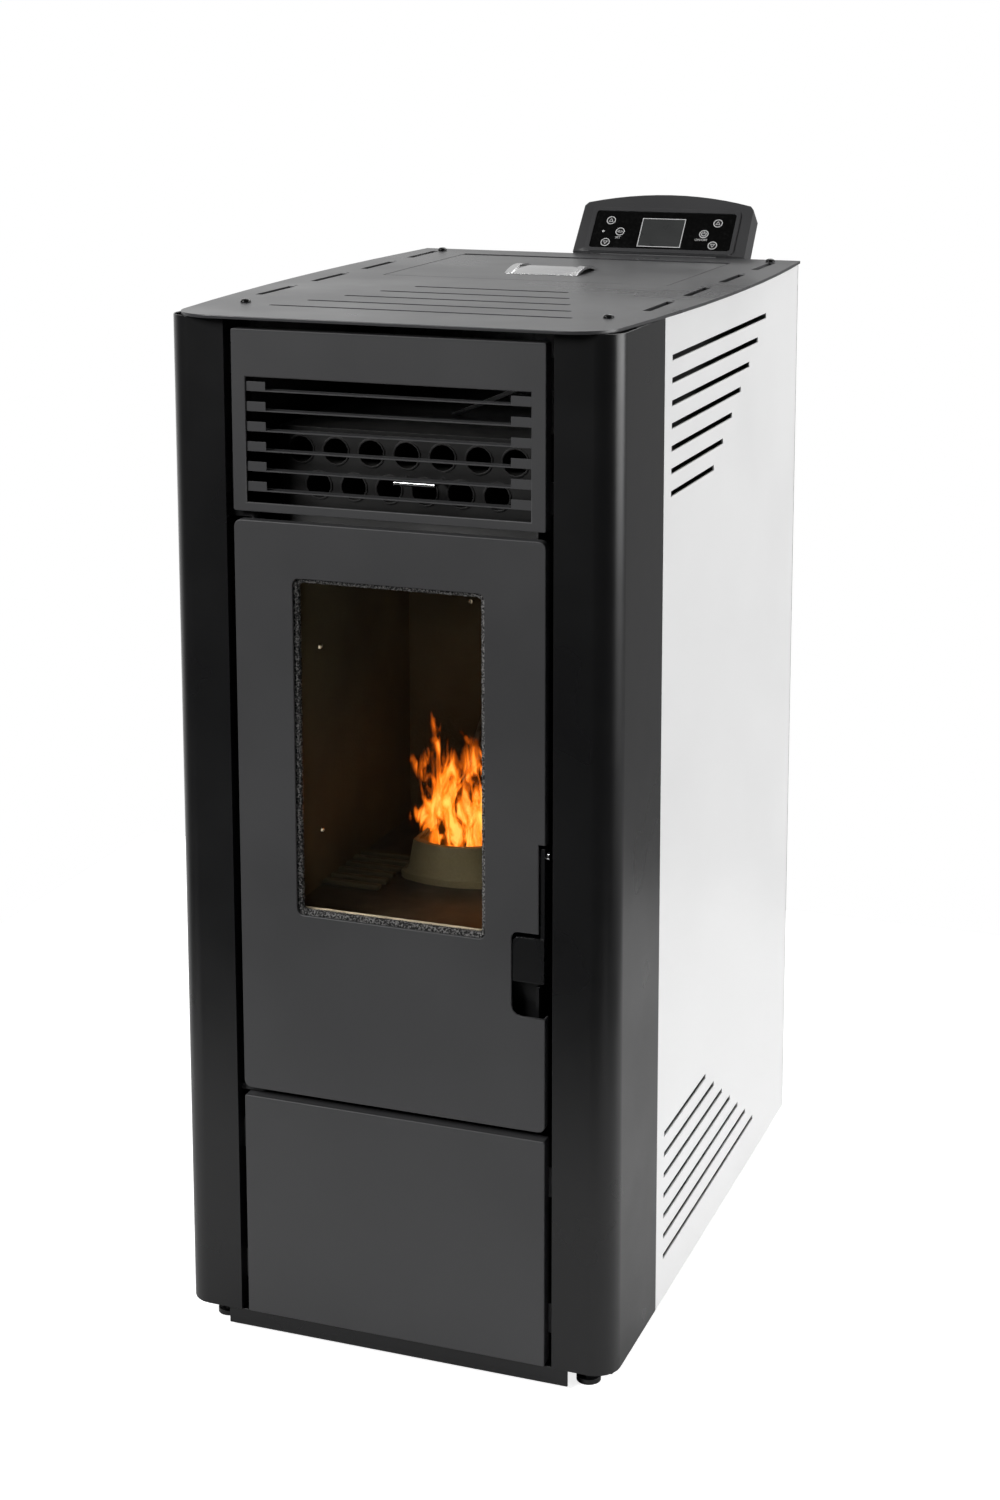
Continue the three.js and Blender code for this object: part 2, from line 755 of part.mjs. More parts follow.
// Slots of a side panel: a fan at the top that shortens downwards, and its mirror at the bottom.
function sideSlots(side) {
  const slots = [];
  for (let i = 0; i < slotCount; i += 1) {
    const startY = sidePanelY + slotStartSetback;
    const endY = startY + slotLongest - i * slotStep;
    for (const z of [casingTopZ - slotTopDrop - i * slotPitch, lowerPanelZ + slotLowRise + i * slotPitch]) {
      slots.push(box(
        [side * (casingHalfWidth + 1), side * (casingHalfWidth - sheet - 1)],
        [startY, endY],
        [z - slotHeight / 2, z + slotHeight / 2],
      ));
    }
  }
  return slots;
}

function sidePanel(side) {
  const outer = casingHalfWidth;
  const outline = [
    [outer - flangeWidth, sidePanelY], [outer, sidePanelY],
    [outer, sidePanelBackY], [outer - flangeWidth, sidePanelBackY],
    [outer - flangeWidth, sidePanelBackY - sheet], [outer - sheet, sidePanelBackY - sheet],
    [outer - sheet, sidePanelY + sheet], [outer - flangeWidth, sidePanelY + sheet],
  ].map(([x, y]) => [side * x, y]);
  const gusset = box(
    [side * (backScrew[0] - 13), side * (outer - sheet / 2)],
    [backScrew[1] - 38, sidePanelBackY - sheet / 2],
    [casingTopZ - traySheet, casingTopZ],
  );
  return cut(
    join(alongZ(outline, [lowerPanelZ, casingTopZ]), gusset),
    ...sideSlots(side),
    bar([side * backScrew[0], backScrew[1], casingTopZ - 20], [side * backScrew[0], backScrew[1], casingTopZ + 5], screwRadius + play, 12),
  );
}

for (const [name, side] of sides) piece(`${name}_side_panel`, sidePanel(side), whitePaint);

function rearPanel() {
  const outline = rectangle(-casingHalfWidth, lowerPanelZ, casingHalfWidth, casingTopZ);
  return alongY(outline, [rearPanelY, casingDepth], [
    circle(smokeX, flueZ, flueRadius + play, 28),
    circle(intakeX, intakeZ, intakeRadius + play, 20),
    rectangle(inletX - inletWidth / 2, inletZ - inletHeight / 2, inletX + inletWidth / 2, inletZ + inletHeight / 2),
  ]);
}

piece('rear_panel', rearPanel(), galvanised);

// ---------------------------------------------------------------- top plate, lid and screws

const plateEdge = (y) => plateHalfWidth - plateSideBow * ((y - plateWidestY) / plateWidestY) ** 2;

function plateOutline() {
  const frontY = -plateFront;
  const backY = casingDepth + plateBack;
  const sideStartY = frontY + plateCornerRadius;
  const sideSteps = 9;
  const right = [];
  for (let step = 0; step <= sideSteps; step += 1) {
    const y = sideStartY + ((backY - sideStartY) * step) / sideSteps;
    right.push([plateEdge(y), y]);
  }
  const corner = arc(plateEdge(sideStartY) - plateCornerRadius, sideStartY, plateCornerRadius, -90, -10, 6);
  const half = [...corner, ...right];
  return [...half, ...half.map(([x, y]) => [-x, y]).reverse()];
}

function plateHoles() {
  const holes = [];
  for (let i = 0; i < ventCount; i += 1) {
    const half = ventHalfLength - i * ventStep;
    const y = ventFirstY + i * ventPitch;
    holes.push(roundedRectangle(-half, y - ventWidth / 2, half, y + ventWidth / 2, ventWidth / 2 - 0.2, 2));
  }
  for (const [, side] of sides) {
    for (let i = 0; i < sideSlotCount; i += 1) {
      const y = sideSlotFirstY + i * sideSlotPitch;
      const half = sideSlotLength / 2;
      const x = side * sideSlotX;
      holes.push(rectangle(x - sideSlotWidth / 2, y - half, x + sideSlotWidth / 2, y + half));
      // the back screw takes the place of the last dot
      if (i < sideSlotCount - 1) holes.push(circle(x, y + half + dotSpacing, dotRadius, 8));
    }
    for (const [x, y] of [frontScrew, backScrew]) holes.push(circle(side * x, y, screwRadius + play, 12));
  }
  const lidHalf = lidHalfWidth + lidGap;
  holes.push(rectangle(-lidHalf, lidFrontY - lidGap, lidHalf, lidPinY + lidSweep));
  return holes;
}

// A bracket under the plate holds a pivot pin of the lid.
function pinBracket(side) {
  const x = side * (lidEarX + lidEarWidth / 2 + 5);
  const outline = rectangle(lidPinY - lidEarRadius, lidPinZ - lidEarRadius - 1, lidPinY + 18, plateZ + 0.5);
  const notch = rectangle(lidPinY - lidEarRadius - 1, plateZ, lidPinY + lidSweep, plateZ + 1);
  const bracket = cut(
    alongX(outline, [x - 2, x + 2], [circle(lidPinY, lidPinZ, lidPinRadius + play, 12)]),
    alongX(notch, [x - 3, x + 3]),
  );
  return bracket;
}

piece('top_plate', join(
  alongZ(plateOutline(), [plateZ, plateTopZ], plateHoles()),
  ...sides.map(([, side]) => pinBracket(side)),
), platePaint);

// Ear at the lid's back edge, with the pivot pin that turns in a bracket.
function lidEar(side) {
  const x = side * lidEarX;
  const outline = [
    ...arc(lidPinY, lidPinZ, lidEarRadius, -180, 40, 8),
    [lidPinY - 0.5, plateTopZ - lidSheet / 2],
    [lidBackY - 3, plateTopZ - lidSheet / 2],
  ];
  return join(
    alongX(outline, [x - lidEarWidth / 2, x + lidEarWidth / 2]),
    bar([x, lidPinY, lidPinZ], [side * lidPinEnd, lidPinY, lidPinZ], lidPinRadius, 12),
  );
}

// Flat lid with a shallow pan below it that reaches into the hopper's mouth.
function hopperLid() {
  const lidZ = plateTopZ - lidSheet;
  const panHalf = hopperHalfWidth - 6;
  const panFront = hopperFrontY + 6;
  const panBack = hopperBackY - 16;
  const wall = rectangle(-panHalf, panFront, panHalf, panBack);
  const hollow = rectangle(-panHalf + 2, panFront + 2, panHalf - 2, panBack - 2);
  const body = join(
    alongZ(roundedRectangle(-lidHalfWidth, lidFrontY, lidHalfWidth, lidBackY, 2, 1), [lidZ, plateTopZ]),
    alongZ(wall, [lidZ - lidPanDepth, lidZ + 0.5], [hollow]),
    ...sides.map(([, side]) => lidEar(side)),
  );
  return cut(body, box([-lidHalfWidth, lidHalfWidth], [lidBackY, lidBackY + 20], [lidZ, plateTopZ + 1]));
}

// Chromed pull: two arched rails joined by a flatter arched plate.
function lidPull() {
  const low = plateTopZ + seat;
  const half = pullDepth / 2;
  const bow = (rise, thickness, xa, xb) => {
    const radius = (half * half + rise * rise) / (2 * rise);
    const sweep = THREE.MathUtils.radToDeg(Math.asin(half / radius));
    const segment = (drop) => arc(pullCentreY, low + rise - radius - drop, radius, 90 - sweep, 90 + sweep, 8);
    return cut(alongX(segment(0), [xa, xb]), alongX(segment(thickness), [xa - 1, xb + 1]));
  };
  const outer = pullWidth / 2;
  return join(
    bow(pullRise, 3, -outer, -outer + pullRailWidth),
    bow(pullRise, 3, outer - pullRailWidth, outer),
    bow(pullRise - 2, 1.6, -outer + pullRailWidth / 2, outer - pullRailWidth / 2),
  );
}

piece('hopper_lid', hopperLid(), platePaint);
piece('lid_pull', lidPull(), chrome);

function topScrew(x, y) {
  const low = plateTopZ + seat;
  const head = [[0, low - screwLength], [screwRadius, low - screwLength], [screwRadius, low], [screwHeadRadius, low],
    [screwHeadRadius, low + screwHeadHeight * 0.35], [screwHeadRadius * 0.8, low + screwHeadHeight * 0.8],
    [screwHeadRadius * 0.4, low + screwHeadHeight], [0, low + screwHeadHeight]];
  const geometry = new THREE.LatheGeometry(head.map(([r, z]) => new THREE.Vector2(r, z)), 14);
  geometry.rotateX(Math.PI / 2);
  geometry.translate(x, y, 0);
  return solidOf(geometry);
}

for (const [name, side] of sides) {
  piece(`top_screw_front_${name}`, topScrew(side * frontScrew[0], frontScrew[1]), glossBlack);
  piece(`top_screw_back_${name}`, topScrew(side * backScrew[0], backScrew[1]), glossBlack);
}

// ---------------------------------------------------------------- grille panel and lower panel

// A front panel with a folded rim and, at each side, ears that reach the columns.
function foldedPanel(lowZ, highZ, earHeights, openings = []) {
  const face = roundedRectangle(-halfFront, lowZ, halfFront, highZ, 2, 2);
  const hollow = rectangle(-halfFront + sheet, lowZ + sheet, halfFront - sheet, highZ - sheet);
  const ears = sides.flatMap(([, side]) => earHeights.map((z) => box(
    [side * (halfFront - sheet / 2), side * (columnInnerX - seat)],
    [panelFold - sheet, panelFold],
    [z, z + 30],
  )));
  return join(
    cut(alongY(face, [0, panelFold], openings), alongY(hollow, [sheet, panelFold + 1])),
    ...ears,
  );
}

const openingHalf = halfFront - grilleSideBorder;
const grilleOpening = rectangle(-openingHalf, grilleOpeningZ, openingHalf, grilleOpeningTopZ);
piece('grille_panel', foldedPanel(grilleZ, grilleTopZ, [grilleZ + 15, grilleTopZ - 45], [grilleOpening]), charcoal);
piece('lower_panel', foldedPanel(lowerPanelZ, lowerPanelZ + lowerPanelHeight, [lowerPanelZ + 30, lowerPanelZ + 170]), charcoal);

// A blade lies just behind the grille panel and is fixed to it by an upturned tab at each end.
function louvre(number) {
  const z = grilleOpeningTopZ - louvreTopDrop - number * louvrePitch;
  const reach = openingHalf + 6;
  const front = sheet + seat;
  return join(
    box([-reach, reach], [front, front + louvreDepth], [z - louvreSheet, z]),
    ...sides.map(([, side]) => box(
      [side * reach, side * (openingHalf - louvreTabWidth)],
      [front, front + louvreSheet],
      [z - louvreSheet, z + louvreTabHeight],
    )),
  );
}

for (let i = 0; i < louvreCount; i += 1) piece(`louvre_${i + 1}`, louvre(i), charcoal);

// ---------------------------------------------------------------- firebox and liner

const chuteClear = bar(chuteTop, chuteLow, chuteRadius + play, 20);

function firebox() {
  const profile = (inset) => [
    [fireFrontY, fireLowZ + inset], [fireBackY - inset, fireLowZ + inset],
    [fireBackY - inset, fireTopZ - inset], [exchangerFrontY + inset, fireTopZ - inset],
    [exchangerFrontY + inset, fireCollarZ - inset], [fireFrontY, fireCollarZ - inset],
  ];
  const inner = fireHalfWidth - fireWall;
  const hollow = profile(fireWall).map(([y, z]) => [y < fireFrontY + 1 ? y - 1 : y, z]);
  const shell = cut(alongX(profile(0), [-fireHalfWidth, fireHalfWidth]), alongX(hollow, [-inner, inner]));
  const floor = box([-fireHalfWidth + 1, fireHalfWidth - 1], [fireFrontY + 3, fireBackY - 1], [fireFloorZ - fireWall, fireFloorZ]);
  const skirts = sides.map(([, side]) => box(
    [side * fireHalfWidth, side * (fireHalfWidth - fireWall)],
    [skirtFrontY, fireBackY - skirtSetback],
    [lowerPanelZ, fireLowZ + 1],
  ));
  return cut(
    join(shell, floor, ...skirts),
    box([-potHalfWidth + 6, potHalfWidth - 6], [potFrontY + 12, potBackY - 8], [fireFloorZ - 10, fireFloorZ + 1]),
    box([-exchangerHalf - play, exchangerHalf + play], [exchangerFrontY - 1, exchangerFrontY + fireWall + 1], [exchangerLowZ - play, exchangerTopZ + play]),
    box([-exchangerHalf - play, exchangerHalf + play], [fireBackY - fireWall - 1, fireBackY + 1], [exchangerLowZ - play, exchangerTopZ + play]),
    chuteClear,
    bar([intakeX, fireBackY - 10, intakeZ], [intakeX, fireBackY + 10, intakeZ], intakeRadius + play, 20),
    bar([0, fireBackY - 20, igniterZ], [0, fireBackY + 5, igniterZ], igniterRadius + play, 12),
    box([smokeX - smokeInletHalfWidth, smokeX + smokeInletHalfWidth], [fireBackY - 10, fireBackY + 5], [smokeInletLowZ, smokeInletLowZ + smokeInletHeight]),
  );
}

function fireboxLiner() {
  const outer = fireHalfWidth - fireWall - seat;
  const inner = outer - linerThickness;
  const back = fireBackY - fireWall - seat;
  const outline = [
    [-outer, fireFrontY + 4], [-inner, fireFrontY + 4], [-inner, linerBackY], [inner, linerBackY],
    [inner, fireFrontY + 4], [outer, fireFrontY + 4], [outer, back], [-outer, back],
  ];
  return cut(
    alongZ(outline, [fireFloorZ + seat, linerTopZ]),
    chuteClear,
    bar([0, linerBackY - 5, igniterZ], [0, fireBackY, igniterZ], igniterRadius + play, 12),
  );
}

piece('firebox', firebox(), darkSteel);
piece('firebox_liner', fireboxLiner(), vermiculite);

const baffleHalf = fireHalfWidth - fireWall - 2;
piece('baffle_plate', box(
  [-baffleHalf, baffleHalf],
  [baffleFrontY, fireBackY - fireWall - 1],
  [linerTopZ + seat, linerTopZ + seat + baffleThickness],
), castIron);

// ---------------------------------------------------------------- heat exchanger and scraper

const tubeRow = (count, z) => Array.from({ length: count }, (_, i) => [(i - (count - 1) / 2) * tubePitch, z]);
const tubePlaces = [...tubeRow(upperTubeCount, upperTubeZ), ...tubeRow(upperTubeCount - 1, lowerTubeZ)];

// the height at which a leg under an upper tube is as far from it as from the two lower tubes
const scraperZ = (upperTubeZ + lowerTubeZ) / 2 - tubePitch ** 2 / (8 * tubeRowPitch);
const scraperLegs = [[0, scraperZ], [tubePitch, scraperZ]];

function heatExchanger() {
  const frontY = [exchangerFrontY, exchangerFrontY + fireWall];
  const backY = [fireBackY - fireWall, fireBackY];
  const outline = rectangle(-exchangerHalf, exchangerLowZ, exchangerHalf, exchangerTopZ);
  const legHoles = scraperLegs.map(([x, z]) => circle(x, z, scraperRodRadius + play, 12));
  const tubes = tubePlaces.map(([x, z]) => bar([x, frontY[0] - 1, z], [x, backY[1], z], tubeRadius, 14));
  const bores = tubePlaces.map(([x, z]) => bar([x, frontY[0] - 5, z], [x, backY[1] + 5, z], tubeRadius - tubeWall, 14));
  return cut(join(alongY(outline, frontY, legHoles), alongY(outline, backY), ...tubes), ...bores);
}

// A plate on the tubes, drawn forward by a U-shaped bar that stands in front of the tube plate.
function tubeScraper() {
  const plate = alongY(
    rectangle(-exchangerHalf + 2, exchangerLowZ + 2, exchangerHalf - 2, exchangerTopZ - 2),
    [scraperPlateY, scraperPlateY + scraperPlateThickness],
    tubePlaces.map(([x, z]) => circle(x, z, tubeRadius + 0.8, 14)),
  );
  const [[leftX, z], [rightX]] = scraperLegs;
  return join(
    plate,
    bar([leftX, scraperBarY, z], [leftX, scraperPlateY + 1, z], scraperRodRadius, 12),
    bar([rightX, scraperBarY, z], [rightX, scraperPlateY + 1, z], scraperRodRadius, 12),
    bar([leftX - scraperRodRadius, scraperBarY, z], [rightX + scraperRodRadius, scraperBarY, z], scraperRodRadius, 12),
  );
}

piece('heat_exchanger', heatExchanger(), darkSteel);
piece('tube_scraper', tubeScraper(), chrome);

// ---------------------------------------------------------------- pot, ash pan and igniter

// Plan of the pot holder: straight sides and back, and a front that bulges.
function potOutline(spread, inset = 0) {
  const half = potHalfWidth + spread - inset;
  const front = potFrontY - spread * 0.5 + inset;
  const back = potBackY + spread * 0.3 - inset;
  const points = [];
  const steps = 8;
  for (let i = 0; i <= steps; i += 1) {
    const t = (2 * i) / steps - 1;
    points.push([t * half * 0.86, front - potBow * (1 - t * t)]);
  }
  return [...points, [half, front + half * 0.14], [half, back], [-half, back], [-half, front + half * 0.14]];
}

function potHolder() {
  const low = fireFloorZ + seat;
  const lip = potTopZ - 8;
  const outer = loft([
    { points: potOutline(potFlare), z: low },
    { points: potOutline(potFlare), z: low + 7 },
    { points: potOutline(potFlare * 0.45), z: low + 9 },
    { points: potOutline(1.5), z: lip },
    { points: potOutline(0), z: potTopZ },
  ]);
  const pocket = alongZ(potOutline(0, potWall), [low + potWall, potTopZ + 1]);
  const airHole = box([-18, 18], [potFrontY + 25, potBackY - 20], [low - 1, low + potWall + 1]);
  const igniterHole = bar([0, potBackY - 15, igniterZ], [0, potBackY + 20, igniterZ], igniterRadius + play, 12);
  return cut(outer, pocket, airHole, igniterHole);
}

function burnPot() {
  const outer = potOutline(0, potWall + seat);
  const inner = potOutline(0, potWall + seat + cupWall);
  const low = fireFloorZ + seat + potWall + seat;
  const feet = sides.map(([, side]) => box([side * 20, side * 26], [potFrontY + 20, potBackY - 20], [low, cupFloorZ + 1]));
  const holes = [];
  for (const x of [-20, 0, 20]) {
    for (const y of [potFrontY + 25, (potFrontY + potBackY) / 2, potBackY - 25]) {
      holes.push(bar([x, y, cupFloorZ - 1], [x, y, cupFloorZ + cupWall + 1], cupHoleRadius, 8));
    }
  }
  return cut(
    join(alongZ(outer, [cupFloorZ, potTopZ - 2]), ...feet),
    alongZ(inner, [cupFloorZ + cupWall, potTopZ]),
    ...holes,
    bar([0, potBackY - 25, igniterZ], [0, potBackY, igniterZ], igniterRadius + play, 12),
  );
}

piece('pot_holder', potHolder(), castIron);
piece('burn_pot', burnPot(), castIron);

function igniter() {
  return join(
    bar([0, potBackY - potWall, igniterZ], [0, igniterEndY - 20, igniterZ], igniterRadius, 12),
    bar([0, fireBackY + seat, igniterZ], [0, fireBackY + 6, igniterZ], igniterRadius + 5, 16),
    bar([0, igniterEndY - 25, igniterZ], [0, igniterEndY, igniterZ], igniterRadius - 1.5, 12),
  );
}

piece('igniter', igniter(), galvanised);

function ashPan() {
  const outer = rectangle(-panHalfWidth, panFrontY, panHalfWidth, panBackY);
  const shell = cut(
    alongZ(outer, [panLowZ, panLowZ + panHeight]),
    box([-panHalfWidth + panSheet, panHalfWidth - panSheet], [panFrontY + panSheet, panBackY - panSheet], [panLowZ + panSheet, panLowZ + panHeight + 1]),
  );
  const gripZ = panLowZ + panHeight * 0.62;
  return join(
    shell,
    box([-45, 45], [panFrontY - 22, panFrontY + 1], [gripZ, gripZ + 2.5]),
    box([-45, 45], [panFrontY - 22, panFrontY - 19.5], [gripZ - 10, gripZ + 1]),
  );
}

piece('ash_pan', ashPan(), galvanised);

// ---------------------------------------------------------------- door

function doorPanel() {
  const face = roundedRectangle(-halfFront, doorZ, halfFront, doorTopZ, doorCornerRadius, 3);
  const inset = roundedRectangle(-halfFront + sheet, doorZ + sheet, halfFront - sheet, doorTopZ - sheet, doorCornerRadius - sheet, 3);
  const view = roundedRectangle(-windowHalfWidth, windowZ, windowHalfWidth, windowTopZ, windowRadius, 3);
  const gripNotch = [
    [halfFront + 5, doorZ + gripNotchTopRise], ...arc(gripNotchX + 6, doorZ + gripNotchTopRise - 6, 6, 90, 180, 3),
    ...arc(gripNotchX + 10, doorZ + gripNotchLowRise + 10, 10, 180, 270, 3), [halfFront + 5, doorZ + gripNotchLowRise],
  ];
  return cut(
    alongY(face, [0, doorFold], [view]),
    alongY(inset, [doorSheet, doorFold + 1]),
    box([notchX, halfFront + 5], [-1, doorFold + 1], [doorZ + notchLowRise, doorZ + notchTopRise]),
    alongY(gripNotch, [-1, doorFold + 1]),
  );
}

function channelRib(offset) {
  const ring = (grow) => roundedRectangle(
    -doorRopeHalf - grow,
    doorRopeLowZ - grow,
    doorRopeHalf + grow,
    doorRopeTopZ + grow,
    12 + grow,
    3,
  );
  return alongY(ring(offset), [frameBackY - 1, frameBackY + ribHeight], [ring(offset - ribSheet)]);
}

// Inner door frame: plate with the window, rim, rope channel, hinge barrels with their pins, and
// the ear that holds the handle's pin.
function doorFrame() {
  const plate = alongY(
    rectangle(-frameHalfWidth, frameLowZ, frameHalfWidth, frameTopZ),
    [framePlateY, frameBackY],
    [rectangle(-windowHalfWidth, windowZ, windowHalfWidth, windowTopZ)],
  );
  const rimFront = doorFold + seat;
  const rim = alongY(
    rectangle(-frameHalfWidth, frameLowZ, frameHalfWidth, frameTopZ),
    [rimFront, framePlateY + 1],
    [rectangle(-frameHalfWidth + frameSheet, frameLowZ + frameSheet, frameHalfWidth - frameSheet, frameTopZ - frameSheet)],
  );
  const ribGap = doorRopeRadius + seat;
  const ribs = [channelRib(ribGap + ribSheet), channelRib(-ribGap)];
  const axis = (z) => [-hingeX, hingeY, z];
  const lowBarrelZ = lowerLugZ + lugThickness + seat;
  const highBarrelZ = upperLugZ - seat;
  const barrels = [
    bar(axis(lowBarrelZ), axis(lowBarrelZ + hingeBarrelLength), hingeBarrelRadius, 16),
    bar(axis(highBarrelZ - hingeBarrelLength), axis(highBarrelZ), hingeBarrelRadius, 16),
    bar(axis(lowerLugZ - pinShort), axis(lowBarrelZ + 1), hingePinRadius, 16),
    bar(axis(highBarrelZ - 1), axis(upperLugZ + lugThickness + pinShort), hingePinRadius, 16),
  ];
  const earZ = doorZ + leverPivotRise;
  const ear = box([frameHalfWidth - 8, frameHalfWidth], [doorSheet + seat, framePlateY + 1], [earZ - 9, earZ + 9]);
  const gripZ = doorZ + gripLowRise;
  const gripRoom = box(
    [frameHalfWidth - frameSheet - 1, frameHalfWidth + 1],
    [doorFold, framePlateY],
    [gripZ - 8, gripZ + gripHeight + 8],
  );
  const pinHole = bar([frameHalfWidth - 20, leverPivotY, earZ], [frameHalfWidth + 5, leverPivotY, earZ], leverPinRadius + play, 14);
  return cut(join(cut(join(plate, rim, ...ribs), gripRoom), ...barrels, ear), pinHole);
}

// The lever hangs on its pin beside the frame. As stored its nose lies just under the catch stud, so
// the door can swing; turned back a few degrees, the nose stands behind the stud and holds the door.
function doorHandle() {
  const pivotZ = doorZ + leverPivotRise;
  const noseTop = catchZ - catchRadius - seat;
  const hookTop = noseTop - catchEngagement - 1;
  const gripZ = doorZ + gripLowRise;
  const noseY = catchY + catchRadius + seat;
  const arm = [
    [2.5, gripZ + 6], [12, gripZ + 20], [14, pivotZ - 30], [24, hookTop - 9], [noseY + 6, hookTop - 9],
    [noseY + 6, noseTop], [noseY, noseTop], [noseY, hookTop], [20, hookTop],
    [16, pivotZ + 7], [3.5, pivotZ + 8], [2.5, pivotZ],
  ];
  const grip = alongY(
    [
      [leverX + leverThickness, gripZ], [leverX + leverThickness, gripZ + gripHeight],
      ...arc(gripNotchX + 7, gripZ + gripHeight - 6, 6, 90, 180, 3),
      [gripNotchX + 1, gripZ],
    ],
    [1, 1 + gripThickness],
  );
  const lip = box([gripNotchX + 1, leverX + leverThickness], [1, 7], [gripZ, gripZ + gripThickness]);
  return join(
    alongX(arm, [leverX, leverX + leverThickness], [circle(leverPivotY, pivotZ, leverPinRadius + play, 14)]),
    grip,
    lip,
  );
}

function handlePin() {
  const z = doorZ + leverPivotRise;
  const y = leverPivotY;
  const headX = leverX + leverThickness + seat;
  return join(
    bar([frameHalfWidth - 8, y, z], [headX + 1, y, z], leverPinRadius, 14),
    bar([headX, y, z], [headX + 3, y, z], leverPinRadius + 2, 14),
  );
}

piece('door_panel', doorPanel(), charcoal);
piece('door_frame', doorFrame(), blackPaint);
piece('door_glass', alongY(
  roundedRectangle(-windowHalfWidth - glassOverlap, windowZ - glassOverlap, windowHalfWidth + glassOverlap, windowTopZ + glassOverlap, 3, 2),
  [glassFrontY, glassFrontY + glassThickness],
), glass);
piece('glass_rope', ropeRing(windowHalfWidth - 0.5, windowZ + 0.5, windowTopZ - 0.5, glassRopeY, 10, glassRopeRadius), rope);
piece('door_rope', ropeRing(doorRopeHalf, doorRopeLowZ, doorRopeTopZ, doorRopeY, 12, doorRopeRadius), rope);
piece('door_handle', doorHandle(), blackPaint);
piece('handle_pin', handlePin(), chrome);

// ---------------------------------------------------------------- hopper and auger

const level = (halfWidth, frontY, backY, z) => ({ points: rectangle(-halfWidth, frontY, halfWidth, backY), z });

function hopper() {
  const t = hopperSheet;
  const top = casingTopZ;
  const outer = loft([
    level(throatHalfWidth, throatFrontY, throatBackY, throatZ),
    level(hopperHalfWidth, hopperFrontY, hopperBackY, hopperShoulderZ),
    level(hopperHalfWidth, hopperFrontY, hopperBackY, top),
  ]);
  const inner = loft([
    level(throatHalfWidth - t, throatFrontY + t, throatBackY - t, throatZ - 12),
    level(throatHalfWidth - t, throatFrontY + t, throatBackY - t, throatZ + 1),
    level(hopperHalfWidth - t, hopperFrontY + t, hopperBackY - t, hopperShoulderZ + 1),
    level(hopperHalfWidth - t, hopperFrontY + t, hopperBackY - t, top + 1),
  ]);
  const flange = box([-hopperFlangeHalfWidth, hopperFlangeHalfWidth], [hopperFrontY - 12, hopperBackY + 1.5], [top - t, top]);
  const bore = augerTubeRadius - augerTubeWall;
  const boreTop = new THREE.Vector3(...augerTop).addScaledVector(augerAxis, -augerTubeWall).toArray();
  const boreLow = new THREE.Vector3(...augerBottom).addScaledVector(augerAxis, -5).toArray();
  const tube = bar(augerBottom, augerTop, augerTubeRadius, 24);
  const chute = cut(bar(chuteTop, chuteLow, chuteRadius, 20), box([-chuteRadius - 1, chuteRadius + 1], [chuteLow[1] - chuteRadius, chuteEndY], [fireFloorZ, linerTopZ]));
  return cut(
    join(outer, flange, tube, chute),
    inner,
    bar(boreLow, boreTop, bore, 24),
    bar(chuteTop, new THREE.Vector3(...chuteLow).lerp(new THREE.Vector3(...chuteTop), -0.2).toArray(), chuteRadius - chuteWall, 20),
  );
}

piece('hopper', hopper(), galvanised);

const augerTurn = new THREE.Quaternion().setFromUnitVectors(axisZ, augerAxis);
const flightLength = augerTubeLength - 2 * augerTubeWall - flightThickness - 8;

// The auger lies along the Z axis of its own group, from the lower end of its tube upwards.
const augerGroup = new THREE.Group();
augerGroup.position.set(...augerBottom);
augerGroup.quaternion.copy(augerTurn);
stove.add(augerGroup);

piece('auger', join(
  bar([0, 0, -18], [0, 0, augerTubeLength - augerTubeWall - 3], augerShaftRadius, 16),
  solidOf(helix(augerShaftRadius - 1.5, flightRadius, flightPitch, flightThickness, flightLength)).subtract(
    box([-1, 1], [-1, 1], [-60, -50]),
  ),
), alloy, augerGroup);

function augerMotor() {
  const half = gearboxSize / 2;
  const top = -seat;
  return cut(
    join(
      alongZ(roundedRectangle(-half, -half, half, half, 6, 2), [top - gearboxLength, top]),
      bar([0, 0, top - gearboxLength + 1], [0, 0, top - gearboxLength - augerMotorLength], augerMotorRadius, 20),
    ),
    bar([0, 0, -20], [0, 0, 1], augerShaftRadius + play, 16),
  );
}

piece('auger_motor', augerMotor(), alloy, augerGroup);

// ---------------------------------------------------------------- smoke fan

